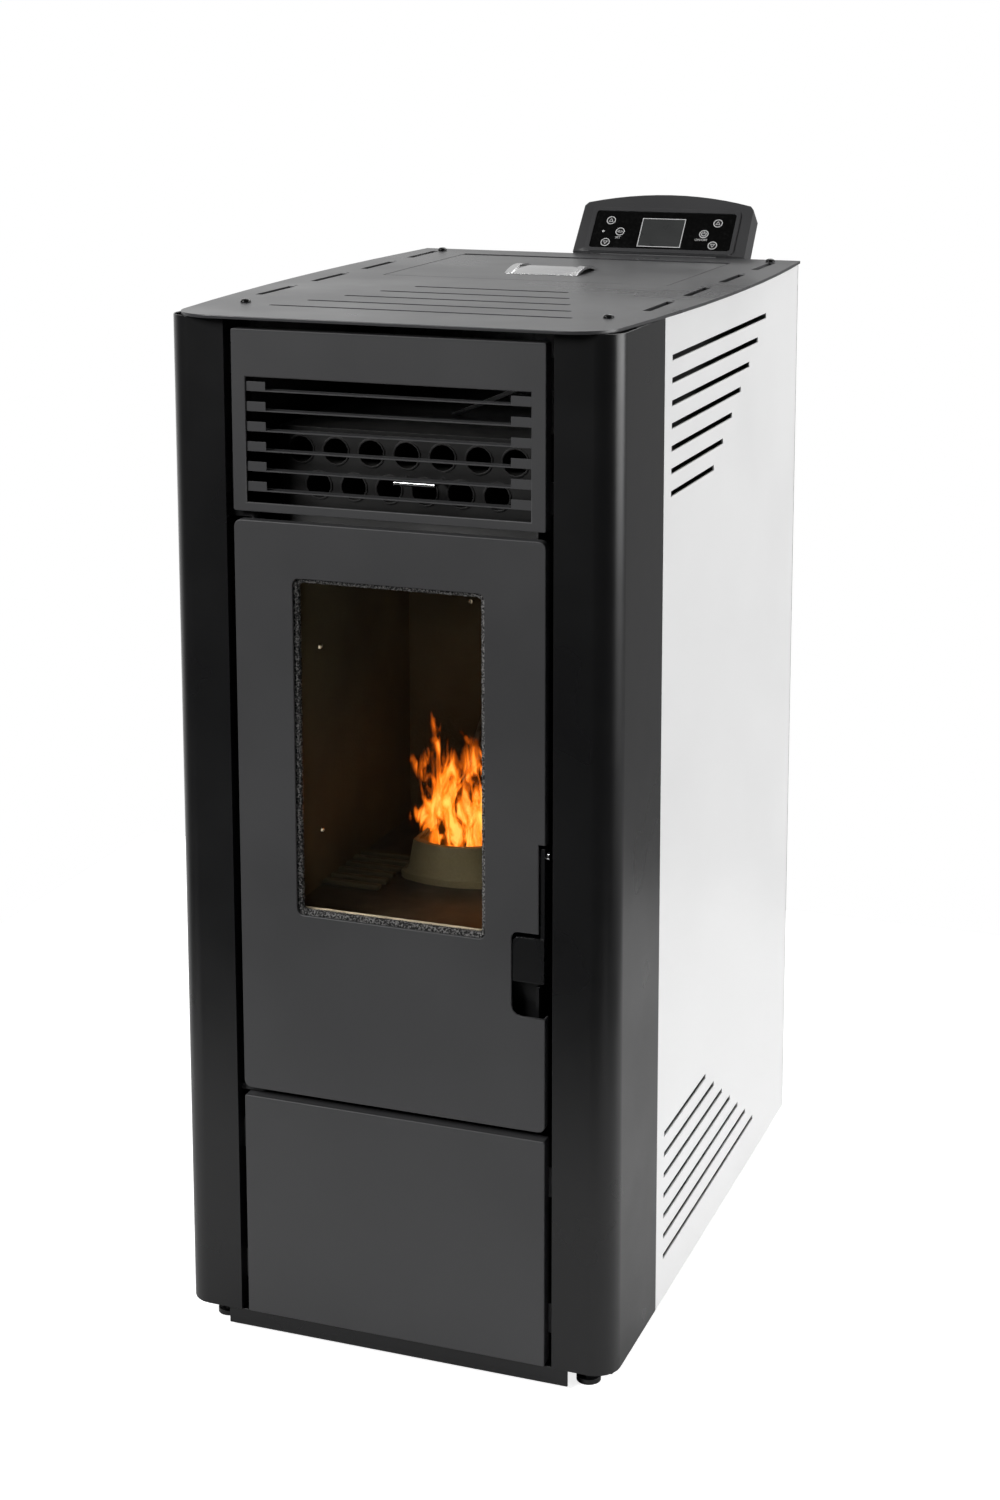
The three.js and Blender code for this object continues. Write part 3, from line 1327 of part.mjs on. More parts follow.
function smokeFanHousing() {
  const t = fanSheet;
  const x = smokeX;
  const inletX = [x - smokeInletHalfWidth - t, x + smokeInletHalfWidth + t];
  const inletTop = smokeInletLowZ + smokeInletHeight;
  const front = fireBackY + seat;
  const outletHalf = flueRadius + t;
  const outletTop = flueZ + flueRadius + t;
  const shell = join(
    bar([x, smokeFrontY, smokeZ], [x, smokeBackY, smokeZ], smokeRadius, 28),
    box(inletX, [front, smokeFrontY + 1], [smokeZ - 50, inletTop + t]),
    box([x - outletHalf, x + outletHalf], [smokeFrontY, smokeBackY], [smokeZ, outletTop]),
    bar([x, smokeBackY - 1, flueZ], [x, flueEndY, flueZ], flueRadius, 28),
    bar([x, smokeBackY - 1, smokeZ], [x, smokeBackY + smokeMotorLength, smokeZ], smokeMotorRadius, 20),
    box([x - 30, x + 30], [smokeFrontY + 12, smokeBackY - 12], [lowerPanelZ, smokeZ - smokeRadius + 8]),
  );
  const motorBoreEnd = smokeBackY + 30;
  return cut(
    shell,
    bar([x, smokeFrontY + t, smokeZ], [x, smokeBackY - t, smokeZ], smokeRadius - t, 28),
    box([inletX[0] + t, inletX[1] - t], [front + t, smokeFrontY - t], [smokeZ - 50 + t, inletTop]),
    box([inletX[0] + t, inletX[1] - t], [front - 5, smokeFrontY - t], [smokeInletLowZ, inletTop]),
    bar([x, smokeFrontY - t - 5, smokeZ], [x, smokeFrontY + t + 5, smokeZ], 34, 24),
    box([x - flueRadius, x + flueRadius], [smokeFrontY + t, smokeBackY - t], [smokeZ, outletTop - t]),
    bar([x, smokeBackY - t - 5, flueZ], [x, flueEndY + 5, flueZ], flueRadius - flueWall, 28),
    bar([x, smokeBackY - t - 5, smokeZ], [x, motorBoreEnd, smokeZ], fanShaftRadius + play, 12),
  );
}

// A fan wheel on the Z axis: disc, hub, blades and shaft.
function fanWheel(radius, width, hubRadius, shaft) {
  const blades = Array.from({ length: bladeCount }, (_, i) => {
    const geometry = new THREE.BoxGeometry(radius - hubRadius + 1, 1.6, width);
    geometry.translate((radius + hubRadius - 1) / 2, 0, width / 2);
    geometry.rotateZ((2 * Math.PI * i) / bladeCount);
    return solidOf(geometry);
  });
  return join(
    bar([0, 0, 0], [0, 0, 2], radius, 24),
    bar([0, 0, 0], [0, 0, width], hubRadius, 16),
    bar([0, 0, shaft[0]], [0, 0, shaft[1]], fanShaftRadius, 12),
    ...blades,
  );
}

piece('smoke_fan_housing', smokeFanHousing(), galvanised);

// Both wheels stand in groups turned so that their own Z axis points away from the motor.
const smokeWheel = new THREE.Group();
smokeWheel.position.set(smokeX, smokeBackY - fanSheet - 8, smokeZ);
smokeWheel.rotation.x = Math.PI / 2;
stove.add(smokeWheel);
piece('smoke_fan_wheel', fanWheel(smokeRadius - 22, 34, 10, [-34, 20]), alloy, smokeWheel);

// ---------------------------------------------------------------- room fan and duct

function roomFanHousing() {
  const t = ductSheet;
  const [left, right] = [roomFanLeftX, roomFanRightX];
  const shell = join(
    bar([left, roomFanY, roomFanZ], [right, roomFanY, roomFanZ], roomFanRadius, 28),
    box([left, right], [ductFrontY, roomFanY], [ductLowZ, roomFanZ + roomFanRadius]),
    box([left, right], [ductFrontY, ductBackY], [ductLowZ, ductShoulderZ + 5]),
    box([-ductHalfWidth, ductHalfWidth], [ductFrontY, ductBackY], [ductShoulderZ, ductTopZ]),
    bar([right - 1, roomFanY, roomFanZ], [right + roomMotorLength, roomFanY, roomFanZ], roomMotorRadius, 20),
    box([left + 15, right - 15], [roomFanY - 30, roomFanY + 30], [lowerPanelZ, roomFanZ - roomFanRadius + 12]),
  );
  return cut(
    shell,
    bar([left + t, roomFanY, roomFanZ], [right - t, roomFanY, roomFanZ], roomFanRadius - t, 28),
    box([left + t, right - t], [ductFrontY + t, roomFanY], [ductLowZ + t, roomFanZ + roomFanRadius - t]),
    box([left + t, right - t], [ductFrontY + t, ductBackY - t], [ductLowZ + t, ductShoulderZ + 5 + t]),
    box([-ductHalfWidth + t, ductHalfWidth - t], [ductFrontY + t, ductBackY - t], [ductShoulderZ + t, ductTopZ - t]),
    box([-exchangerHalf + 6, exchangerHalf - 6], [ductFrontY - 1, ductFrontY + t + 1], [exchangerLowZ + 2, exchangerTopZ - 2]),
    bar([left - 5, roomFanY, roomFanZ], [left + t + 5, roomFanY, roomFanZ], 42, 24),
    bar([right - t - 5, roomFanY, roomFanZ], [right + 30, roomFanY, roomFanZ], fanShaftRadius + play, 12),
  );
}

piece('room_fan_housing', roomFanHousing(), galvanised);

const roomWheel = new THREE.Group();
roomWheel.position.set(roomFanRightX - ductSheet - 8, roomFanY, roomFanZ);
roomWheel.rotation.y = -Math.PI / 2;
stove.add(roomWheel);
piece('room_fan_wheel', fanWheel(roomFanRadius - 16, 52, 10, [-34, 30]), alloy, roomWheel);

// ---------------------------------------------------------------- air pipe and electrics

piece('air_pipe', cut(
  bar([intakeX, fireBackY - fireWall, intakeZ], [intakeX, intakeEndY, intakeZ], intakeRadius, 20),
  bar([intakeX, fireBackY - 20, intakeZ], [intakeX, intakeEndY + 5, intakeZ], intakeRadius - intakeWall, 20),
), galvanised);

// Circuit board on four standoffs, with a transformer, a relay block and a terminal strip.
function controlBoard() {
  const panelX = casingHalfWidth - sheet - seat;
  const [y0, y1] = boardY;
  const [z0, z1] = boardZ;
  const corners = [[y0 + 8, z0 + 8], [y1 - 8, z0 + 8], [y0 + 8, z1 - 8], [y1 - 8, z1 - 8]];
  return join(
    box([boardX, boardX + boardThickness], boardY, boardZ),
    box([boardX - 28, boardX + 1], [y0 + 12, y0 + 52], [z0 + 20, z0 + 62]),
    box([boardX - 16, boardX + 1], [y0 + 64, y1 - 12], [z0 + 22, z0 + 50]),
    box([boardX - 12, boardX + 1], [y0 + 12, y1 - 12], [z1 - 26, z1 - 14]),
    ...corners.map(([y, z]) => bar([boardX + 1, y, z], [panelX, y, z], standoffRadius, 10)),
  );
}

piece('control_board', controlBoard(), boardGreen);

// Mains inlet socket let into the rear panel, with three contacts in its recess.
function powerInlet() {
  const halfW = inletWidth / 2;
  const halfH = inletHeight / 2;
  const body = join(
    box([inletX - halfW + play, inletX + halfW - play], [rearPanelY - inletDepth, casingDepth + 2], [inletZ - halfH + play, inletZ + halfH - play]),
    alongY(roundedRectangle(inletX - halfW - 5, inletZ - halfH - 5, inletX + halfW + 5, inletZ + halfH + 5, 4, 2), [casingDepth + seat, casingDepth + 3]),
  );
  const recess = box([inletX - 12, inletX + 12], [casingDepth - 17, casingDepth + 5], [inletZ - 8, inletZ + 8]);
  const contacts = [[-7, -2], [0, 3], [7, -2]].map(([dx, dz]) => box(
    [inletX + dx - 1, inletX + dx + 1],
    [casingDepth - 18, casingDepth - 3],
    [inletZ + dz - 2.5, inletZ + dz + 2.5],
  ));
  return join(cut(body, recess), ...contacts);
}

piece('power_inlet', powerInlet(), glossBlack);

// ---------------------------------------------------------------- control console

// The console's own frame: x across, y up its slope, z out of its face.
const consoleGroup = new THREE.Group();
consoleGroup.position.set(consoleX, consoleY, consoleZ);
consoleGroup.rotation.x = THREE.MathUtils.degToRad(90 - consoleTilt);
stove.add(consoleGroup);
consoleGroup.updateMatrixWorld();

function archOutline(halfWidth, height, arch, radius) {
  const chordHalf = halfWidth - radius;
  const archRadius = (chordHalf * chordHalf + arch * arch) / (2 * arch);
  const sweep = THREE.MathUtils.radToDeg(Math.asin(chordHalf / archRadius));
  return [
    [-halfWidth, 0], [halfWidth, 0], [halfWidth - 1, height - radius],
    ...arc(0, height + arch - archRadius, archRadius, 90 - sweep, 90 + sweep, 12),
    [-halfWidth + 1, height - radius],
  ];
}

function consoleHousing() {
  const body = alongZ(archOutline(consoleHalfWidth, consoleHeight, consoleArch, consoleRadius), [-consoleDepth, 0]);
  const bezel = alongZ(roundedRectangle(-bezelHalfWidth, bezelLow, bezelHalfWidth, bezelHigh, 6, 3), [-1, bezelRise]);
  const pocket = alongZ(
    roundedRectangle(-bezelHalfWidth + bezelRim, bezelLow + bezelRim, bezelHalfWidth - bezelRim, bezelHigh - bezelRim, 3, 2),
    [bezelRise - faceDepth - faceThickness - seat, bezelRise + 1],
  );
  const footProfile = [
    [casingDepth + seat, plateZ - 50], [consoleY + 16, plateZ - 50], [consoleY + 16, plateZ - 6],
    [consoleY + 6, consoleZ], [consoleY + seat, consoleZ - 1], [consoleY + seat, plateZ - 3], [casingDepth + seat, plateZ - 3],
  ];
  const footing = alongX(footProfile, [consoleX - 70, consoleX + 70]);
  const local = geometryOf(footing).applyMatrix4(consoleGroup.matrixWorld.clone().invert());
  return cut(join(body, bezel, solidOf(local)), pocket);
}

const faceTop = bezelRise - faceDepth;
const faceHalf = bezelHalfWidth - bezelRim - seat;
const [displayX, displayY] = displayCentre;
const displayHole = (gap) => rectangle(
  displayX - displayHalfWidth - gap,
  displayY - displayHeight / 2 - gap,
  displayX + displayHalfWidth + gap,
  displayY + displayHeight / 2 + gap,
);

piece('console_housing', consoleHousing(), housingPlastic, consoleGroup);
piece('console_face', alongZ(
  roundedRectangle(-faceHalf, bezelLow + bezelRim + seat, faceHalf, bezelHigh - bezelRim - seat, 2.7, 2),
  [faceTop - faceThickness, faceTop],
  [displayHole(seat), ...Object.values(keyPlaces).map(([x, y]) => circle(x, y, keyRadius + play, 16))],
), glossBlack, consoleGroup);
piece('console_display', alongZ(displayHole(0), [faceTop - faceThickness, faceTop]), displayGrey, consoleGroup);
for (const [name, [x, y]] of Object.entries(keyPlaces)) {
  const keyFoot = faceTop - faceThickness + keyTravel;
  piece(name, alongZ(circle(x, y, keyRadius, 16), [keyFoot, faceTop + keyProud]), keyBlack, consoleGroup);
}

// ---------------------------------------------------------------- centre the stove in Y

const bounds = new THREE.Box3().setFromObject(stove, true);
stove.position.y = -(bounds.min.y + bounds.max.y) / 2;

export default stove;
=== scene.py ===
"""Looks of a free-standing pellet stove: painted casing, dark fire chamber, chrome pulls, console."""

import json
import logging
import math
import random
from collections.abc import Callable, Iterable, Sequence
from dataclasses import dataclass, field
from enum import Enum
from typing import Any

import bmesh
import bpy
from mathutils import Matrix, Vector


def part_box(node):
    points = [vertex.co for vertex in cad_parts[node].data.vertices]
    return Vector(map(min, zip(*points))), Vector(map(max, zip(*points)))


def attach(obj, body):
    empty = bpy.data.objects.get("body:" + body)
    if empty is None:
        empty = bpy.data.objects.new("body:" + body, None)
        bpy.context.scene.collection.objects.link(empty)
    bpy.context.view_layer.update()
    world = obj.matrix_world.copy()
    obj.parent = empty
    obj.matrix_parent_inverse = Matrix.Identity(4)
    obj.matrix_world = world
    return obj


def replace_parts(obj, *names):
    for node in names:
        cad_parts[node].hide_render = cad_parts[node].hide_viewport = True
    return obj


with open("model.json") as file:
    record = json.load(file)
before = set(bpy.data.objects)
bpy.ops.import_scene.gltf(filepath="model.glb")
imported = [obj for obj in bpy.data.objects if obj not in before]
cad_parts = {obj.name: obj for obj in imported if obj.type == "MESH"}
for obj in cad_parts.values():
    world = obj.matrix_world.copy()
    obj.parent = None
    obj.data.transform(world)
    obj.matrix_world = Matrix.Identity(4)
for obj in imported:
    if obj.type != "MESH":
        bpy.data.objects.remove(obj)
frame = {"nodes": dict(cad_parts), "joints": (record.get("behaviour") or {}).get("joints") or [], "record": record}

MM = 0.001
MERGE_DISTANCE = 0.02 * MM
FLAT_ANGLE = math.radians(0.4)
SMOOTH_ANGLE = math.radians(33)
SHARP_TURN = math.radians(30)
FACE_TOLERANCE = 0.05 * MM
OUTLINE_TOLERANCE = 8 * MM

Colour = tuple[float, float, float]
Triple = tuple[float, float, float]
Span = tuple[float, float]
Node = bpy.types.Node
NodeTree = bpy.types.NodeTree
Socket = bpy.types.NodeSocket
BMesh = bmesh.types.BMesh
Piece = bpy.types.Object

log = logging.getLogger("pellet_stove")


class Slot(Enum):
    """The record's material slots that the scene's pieces take their finish from."""

    CHARCOAL = "charcoal"
    BLACK = "black"
    WHITE = "white"
    PLATE = "plate"
    CAST = "cast"
    DARK_STEEL = "dark_steel"
    ZINC = "zinc"
    CHROME = "chrome"
    ROPE = "rope"
    VERMICULITE = "vermiculite"
    GLASS = "glass"
    GLOSS_BLACK = "gloss_black"
    SCREW_BLACK = "screw_black"
    KEY = "key"
    DISPLAY = "display"
    HOUSING = "housing"
    BOARD = "board"
    ALLOY = "alloy"


class Body(Enum):
    """The bodies that the scene's own pieces ride on."""

    STOVE = "stove"
    DOOR = "door"
    BURN_POT = "burn_pot"


# ---------------------------------------------------------------- shader trees


class Tree:
    """A node tree under construction."""

    def __init__(self, tree: NodeTree) -> None:
        """Starts on an empty or existing tree."""
        self.tree = tree

    def add(self, kind: str, **settings: Any) -> Node:
        """Adds a node.

        Args:
            kind: the node's type name.
            settings: the node's own properties.

        Returns:
            The node.
        """
        node = self.tree.nodes.new(kind)
        for name, value in settings.items():
            setattr(node, name, value)
        return node

    def link(self, source: Socket, target: Socket) -> None:
        """Joins an output to an input."""
        self.tree.links.new(source, target)

    def fill(self, node: Node, values: dict[str, Any]) -> Node:
        """Gives a node's inputs their values.

        Args:
            node: the node.
            values: numbers, colours or sockets, by the input's name.

        Returns:
            The node.
        """
        for name, value in values.items():
            if isinstance(value, Socket):
                self.link(value, node.inputs[name])
            else:
                node.inputs[name].default_value = value
        return node

    def noise(self, vector: Socket, scale: float | Socket, detail: float = 2.0) -> Socket:
        """Adds a noise texture.

        Args:
            vector: where the noise is read.
            scale: waves a metre, a number or a socket.
            detail: octaves.

        Returns:
            The noise value.
        """
        node = self.add("ShaderNodeTexNoise")
        return self.fill(node, {"Vector": vector, "Scale": scale, "Detail": detail}).outputs[0]

    def spread(self, value: Socket, low: float, high: float, to_low: float, to_high: float) -> Socket:
        """Maps a value's range to another, clamped.

        Args:
            value: the value.
            low: start of its range.
            high: end of its range.
            to_low: what low becomes.
            to_high: what high becomes.

        Returns:
            The mapped value.
        """
        values = {"Value": value, "From Min": low, "From Max": high, "To Min": to_low, "To Max": to_high}
        return self.fill(self.add("ShaderNodeMapRange"), values).outputs["Result"]

    def sum(self, kind: str, a: Socket, b: Socket | float) -> Socket:
        """Joins two values.

        Args:
            kind: the operation, such as MULTIPLY.
            a: first value.
            b: second value, a socket or a number.

        Returns:
            The result.
        """
        node = self.add("ShaderNodeMath", operation=kind)
        self.link(a, node.inputs[0])
        if isinstance(b, (int, float)):
            node.inputs[1].default_value = b
        else:
            self.link(b, node.inputs[1])
        return node.outputs[0]

    def mix(self, factor: Socket, a: Sequence[float] | Socket, b: Sequence[float]) -> Socket:
        """Mixes two colours.

        Args:
            factor: how much of b.
            a: first colour, or a socket that holds one.
            b: second colour.

        Returns:
            The mixed colour.
        """
        node = self.add("ShaderNodeMix", data_type="RGBA")
        self.link(factor, node.inputs[0])
        if isinstance(a, Socket):
            self.link(a, node.inputs[6])
        else:
            node.inputs[6].default_value = (*a, 1.0)
        node.inputs[7].default_value = (*b, 1.0)
        return node.outputs[2]

    def place(self) -> Socket:
        """The object coordinates."""
        return self.add("ShaderNodeTexCoord").outputs["Object"]

    def group(self, tree: NodeTree, values: dict[str, Any]) -> Node:
        """Places a node group.

        Args:
            tree: the group.
            values: what its inputs get, by name.

        Returns:
            The group's node.
        """
        return self.fill(self.add("ShaderNodeGroup", node_tree=tree), values)


class Effects:
    """The shader groups that several finishes share, each built once."""

    DRIFT_SCALE = 7.0
    WEAR_SCALE = 180.0
    DUST_SCALE = 60.0
    BEVEL_SAMPLES = 4

    def __init__(self) -> None:
        """Starts with no group."""
        self.made: dict[str, NodeTree] = {}

    def get(self, name: str) -> NodeTree:
        """The group of that name, built on first use.

        Args:
            name: the group's name, which is also the method that builds it.

        Returns:
            The group.
        """
        if name not in self.made:
            self.made[name] = getattr(self, name)()
        return self.made[name]

    @staticmethod
    def open(name: str, inputs: dict[str, str], outputs: dict[str, str]) -> tuple[Tree, Any, Any]:
        """Starts a group.

        Args:
            name: the group's name.
            inputs: socket types by name.
            outputs: socket types by name.

        Returns:
            The tree, its inputs and its outputs.
        """
        made = bpy.data.node_groups.new(name, "ShaderNodeTree")
        for label, kind in inputs.items():
            made.interface.new_socket(name=label, in_out="INPUT", socket_type=kind)
        for label, kind in outputs.items():
            made.interface.new_socket(name=label, in_out="OUTPUT", socket_type=kind)
        tree = Tree(made)
        return tree, tree.add("NodeGroupInput").outputs, tree.add("NodeGroupOutput").inputs

    def fine_grain(self) -> NodeTree:
        """Grain of a sprayed or cast surface: fine bumps with a broad, faint drift.

        Returns:
            The group.
        """
        tree, given, out = self.open(
            "fine_grain",
            {"Vector": "NodeSocketVector", "Scale": "NodeSocketFloat"},
            {"Fine": "NodeSocketFloat", "Broad": "NodeSocketFloat"},
        )
        fine = tree.noise(given["Vector"], given["Scale"], 3.0)
        broad = tree.noise(given["Vector"], self.DRIFT_SCALE, 3.0)
        tree.link(tree.spread(fine, 0.3, 0.7, 0.0, 1.0), out["Fine"])
        tree.link(tree.spread(broad, 0.35, 0.65, 0.0, 1.0), out["Broad"])
        return tree.tree

    def round_edge(self) -> NodeTree:
        """Softened edges: the turned normal and a mask of where it turns, which the finishes lighten as wear and
        as painted highlight.

        Returns:
            The group.
        """
        tree, given, out = self.open(
            "round_edge",
            {"Radius": "NodeSocketFloat", "Vector": "NodeSocketVector"},
            {"Normal": "NodeSocketVector", "Mask": "NodeSocketFloat"},
        )
        soft = tree.add("ShaderNodeBevel", samples=self.BEVEL_SAMPLES)
        tree.link(given["Radius"], soft.inputs["Radius"])
        flat = tree.add("ShaderNodeNewGeometry")
        turn = tree.add("ShaderNodeVectorMath", operation="DOT_PRODUCT")
        tree.link(soft.outputs[0], turn.inputs[0])
        tree.link(flat.outputs["Normal"], turn.inputs[1])
        # edge mask: where the rounded normal turns; the finishes lighten it partly as wear, partly as painted
        # highlight
        worn_and_highlit = tree.spread(turn.outputs["Value"], 0.99, 0.8, 0.0, 1.0)
        broken = tree.spread(tree.noise(given["Vector"], self.WEAR_SCALE, 4.0), 0.35, 0.6, 0.35, 1.0)
        tree.link(soft.outputs[0], out["Normal"])
        tree.link(tree.sum("MULTIPLY", worn_and_highlit, broken), out["Mask"])
        return tree.tree

    def dust(self) -> NodeTree:
        """Ash dust that lies where a surface faces up.

        Returns:
            The group.
        """
        tree, given, out = self.open(
            "dust",
            {"Vector": "NodeSocketVector", "Amount": "NodeSocketFloat"},
            {"Mask": "NodeSocketFloat"},
        )
        normal = tree.add("ShaderNodeSeparateXYZ")
        tree.link(tree.add("ShaderNodeNewGeometry").outputs["Normal"], normal.inputs[0])
        up = tree.spread(normal.outputs["Z"], 0.3, 1.0, 0.0, 1.0)
        patches = tree.spread(tree.noise(given["Vector"], self.DUST_SCALE, 5.0), 0.4, 0.75, 0.0, 1.0)
        tree.link(tree.sum("MULTIPLY", tree.sum("MULTIPLY", up, patches), given["Amount"]), out["Mask"])
        return tree.tree

    def spangle(self) -> NodeTree:
        """Crystals of a zinc coat.

        Returns:
            The group.
        """
        tree, given, out = self.open(
            "spangle",
            {"Vector": "NodeSocketVector", "Scale": "NodeSocketFloat"},
            {"Value": "NodeSocketFloat"},
        )
        cells = tree.add("ShaderNodeTexVoronoi")
        tree.fill(cells, {"Vector": given["Vector"], "Scale": given["Scale"]})
        shade = tree.add("ShaderNodeSeparateColor")
        tree.link(cells.outputs["Color"], shade.inputs[0])
        tree.link(shade.outputs[0], out["Value"])
        return tree.tree


EFFECTS = Effects()


# ---------------------------------------------------------------- finishes


@dataclass(frozen=True)
class Finish:
    """A finish: a Principled surface whose colour, gloss and relief come from its own nodes."""

    name: str

    def material(self) -> bpy.types.Material:
        """Builds the material.

        Returns:
            The material.
        """
        material = bpy.data.materials.new(self.name)
        material.use_nodes = True
        self.dress(Tree(material.node_tree), material.node_tree.nodes["Principled BSDF"])
        return material

    def dress(self, tree: Tree, shader: Node) -> None:
        """Links the finish's own nodes to the Principled shader."""
        raise NotImplementedError

    @staticmethod
    def bump(
        tree: Tree,
        shader: Node,
        height: Socket,
        depth: float,
        normal: Socket | None = None,
    ) -> None:
        """Gives the shader a relief.

        Args:
            tree: the material's tree.
            shader: its Principled shader.
            height: the relief, 0 to 1.
            depth: its height in metres.
            normal: the normal it starts from.
        """
        node = tree.add("ShaderNodeBump")
        node.inputs["Distance"].default_value = depth
        tree.link(height, node.inputs["Height"])
        if normal is not None:
            tree.link(normal, node.inputs["Normal"])
        tree.link(node.outputs[0], shader.inputs["Normal"])


@dataclass(frozen=True)
class Paint(Finish):
    """Sprayed or powder paint, or moulded plastic: fine grain, faint drift and lighter edges, partly wear and
    partly painted highlight.
    """

    colour: Colour = (0.05, 0.05, 0.05)
    variation: float = 0.08
    roughness: float = 0.5
    grain: float = 1500.0
    relief: float = 0.02 * MM
    edge: float = 0.5 * MM
    edge_wear_and_highlight_gain: float = 1.4
    fine_share: float = 0.6
    mix_share: float = 0.62
    gloss_drift: float = 0.04

    def dress(self, tree: Tree, shader: Node) -> None:
        """Links paint: grain, drift and lighter edges, partly wear and partly painted highlight.

        Args:
            tree: the material's tree.
            shader: its Principled shader.
        """
        place = tree.place()
        grain = tree.group(EFFECTS.get("fine_grain"), {"Vector": place, "Scale": self.grain})
        edge = tree.group(EFFECTS.get("round_edge"), {"Vector": place, "Radius": self.edge})
        dark = tuple(c * (1 - self.variation) for c in self.colour)
        light = tuple(c * (1 + self.variation) for c in self.colour)
        # edges lighter by a gain: partly edge wear, partly a painted highlight
        worn_and_highlit = tuple(min(0.9, c * self.edge_wear_and_highlight_gain) for c in self.colour)
        fine = tree.sum("MULTIPLY", grain.outputs["Fine"], self.fine_share)
        level = tree.sum("ADD", fine, grain.outputs["Broad"])
        tone = tree.mix(tree.sum("MULTIPLY", level, self.mix_share), dark, light)
        tone = tree.mix(edge.outputs["Mask"], tone, worn_and_highlit)
        low, high = self.roughness - self.gloss_drift, self.roughness + self.gloss_drift
        gloss = tree.spread(grain.outputs["Broad"], 0.0, 1.0, low, high)
        tree.fill(shader, {"Base Color": tone, "Roughness": gloss})
        self.bump(tree, shader, grain.outputs["Fine"], self.relief, edge.outputs["Normal"])


@dataclass(frozen=True)
class Metal(Finish):
    """Bare or plated metal with a drawn grain."""

    colour: Colour = (0.6, 0.6, 0.6)
    dull: Colour = (0.5, 0.5, 0.5)
    roughness: float = 0.3
    grain: float = 900.0
    stretch: Triple = (1.0, 1.0, 1.0)
    relief: float = 0.01 * MM
    edge: float = 0.4 * MM

    def dress(self, tree: Tree, shader: Node) -> None:
        """Links metal: drawn grain and soft edges.

        Args:
            tree: the material's tree.
            shader: its Principled shader.
        """
        drawn = tree.fill(tree.add("ShaderNodeMapping"), {"Vector": tree.place(), "Scale": self.stretch})
        place = drawn.outputs[0]
        grain = tree.group(EFFECTS.get("fine_grain"), {"Vector": place, "Scale": self.grain})
        edge = tree.group(EFFECTS.get("round_edge"), {"Vector": place, "Radius": self.edge})
        tone = tree.mix(grain.outputs["Broad"], self.colour, self.dull)
        gloss = tree.spread(grain.outputs["Fine"], 0.0, 1.0, self.roughness * 0.8, self.roughness * 1.25)
        tree.fill(shader, {"Base Color": tone, "Roughness": gloss, "Metallic": 1.0})
        self.bump(tree, shader, grain.outputs["Fine"], self.relief, edge.outputs["Normal"])


@dataclass(frozen=True)
class Zinc(Finish):
    """Galvanised sheet."""

    light: Colour = (0.46, 0.47, 0.48)
    dark: Colour = (0.27, 0.28, 0.29)
    crystals: float = 130.0
    grain: float = 500.0
    relief: float = 0.01 * MM
    edge: float = 0.4 * MM
    metallic: float = 0.85

    def dress(self, tree: Tree, shader: Node) -> None:
        """Links zinc: crystals with their own tone and gloss.

        Args:
            tree: the material's tree.
            shader: its Principled shader.
        """
        place = tree.place()
        cells = tree.group(EFFECTS.get("spangle"), {"Vector": place, "Scale": self.crystals})
        grain = tree.group(EFFECTS.get("fine_grain"), {"Vector": place, "Scale": self.grain})
        edge = tree.group(EFFECTS.get("round_edge"), {"Vector": place, "Radius": self.edge})
        tone = tree.mix(cells.outputs["Value"], self.dark, self.light)
        gloss = tree.spread(cells.outputs["Value"], 0.0, 1.0, 0.32, 0.52)
        tree.fill(shader, {"Base Color": tone, "Roughness": gloss, "Metallic": self.metallic})
        self.bump(tree, shader, grain.outputs["Fine"], self.relief, edge.outputs["Normal"])


@dataclass(frozen=True)
class Heated(Finish):
    """A fire-side surface: matt, coarse, sooty in patches."""

    colour: Colour = (0.05, 0.04, 0.03)
    soot: Colour = (0.008, 0.007, 0.006)
    grain: float = 420.0
    relief: float = 0.15 * MM
    roughness: float = 0.8
    sootiness: float = 0.8
    metallic: float = 0.0
    edge_wear_and_highlight_gain: float = 1.3
    edge: float = 0.8 * MM
    cloud_scale: float = 11.0
    grain_share: float = 0.3
    ash: Colour = (0.16, 0.15, 0.13)
    ash_amount: float = 0.25

    def dress(self, tree: Tree, shader: Node) -> None:
        """Links the fire-side surface: coarse grain, soot, edges lightened partly as wear and partly as painted
        highlight, and ash.

        Args:
            tree: the material's tree.
            shader: its Principled shader.
        """
        place = tree.place()
        grain = tree.group(EFFECTS.get("fine_grain"), {"Vector": place, "Scale": self.grain})
        dust = tree.group(EFFECTS.get("dust"), {"Vector": place, "Amount": self.ash_amount})
        edge = tree.group(EFFECTS.get("round_edge"), {"Vector": place, "Radius": self.edge})
        clouds = tree.spread(tree.noise(place, self.cloud_scale, 6.0), 0.35, 0.7, 0.0, self.sootiness)
        tone = tree.mix(clouds, self.colour, self.soot)
        tone = tree.mix(tree.sum("MULTIPLY", grain.outputs["Fine"], self.grain_share), tone, self.soot)
        # edges lighter by a gain: partly edge wear, partly a painted highlight
        worn_and_highlit = tuple(c * self.edge_wear_and_highlight_gain for c in self.colour)
        tone = tree.mix(edge.outputs["Mask"], tone, worn_and_highlit)
        tone = tree.mix(dust.outputs["Mask"], tone, self.ash)
        gloss = tree.spread(grain.outputs["Broad"], 0.0, 1.0, self.roughness - 0.1, self.roughness + 0.08)
        tree.fill(shader, {"Base Color": tone, "Roughness": gloss, "Metallic": self.metallic})
        self.bump(tree, shader, grain.outputs["Fine"], self.relief, edge.outputs["Normal"])


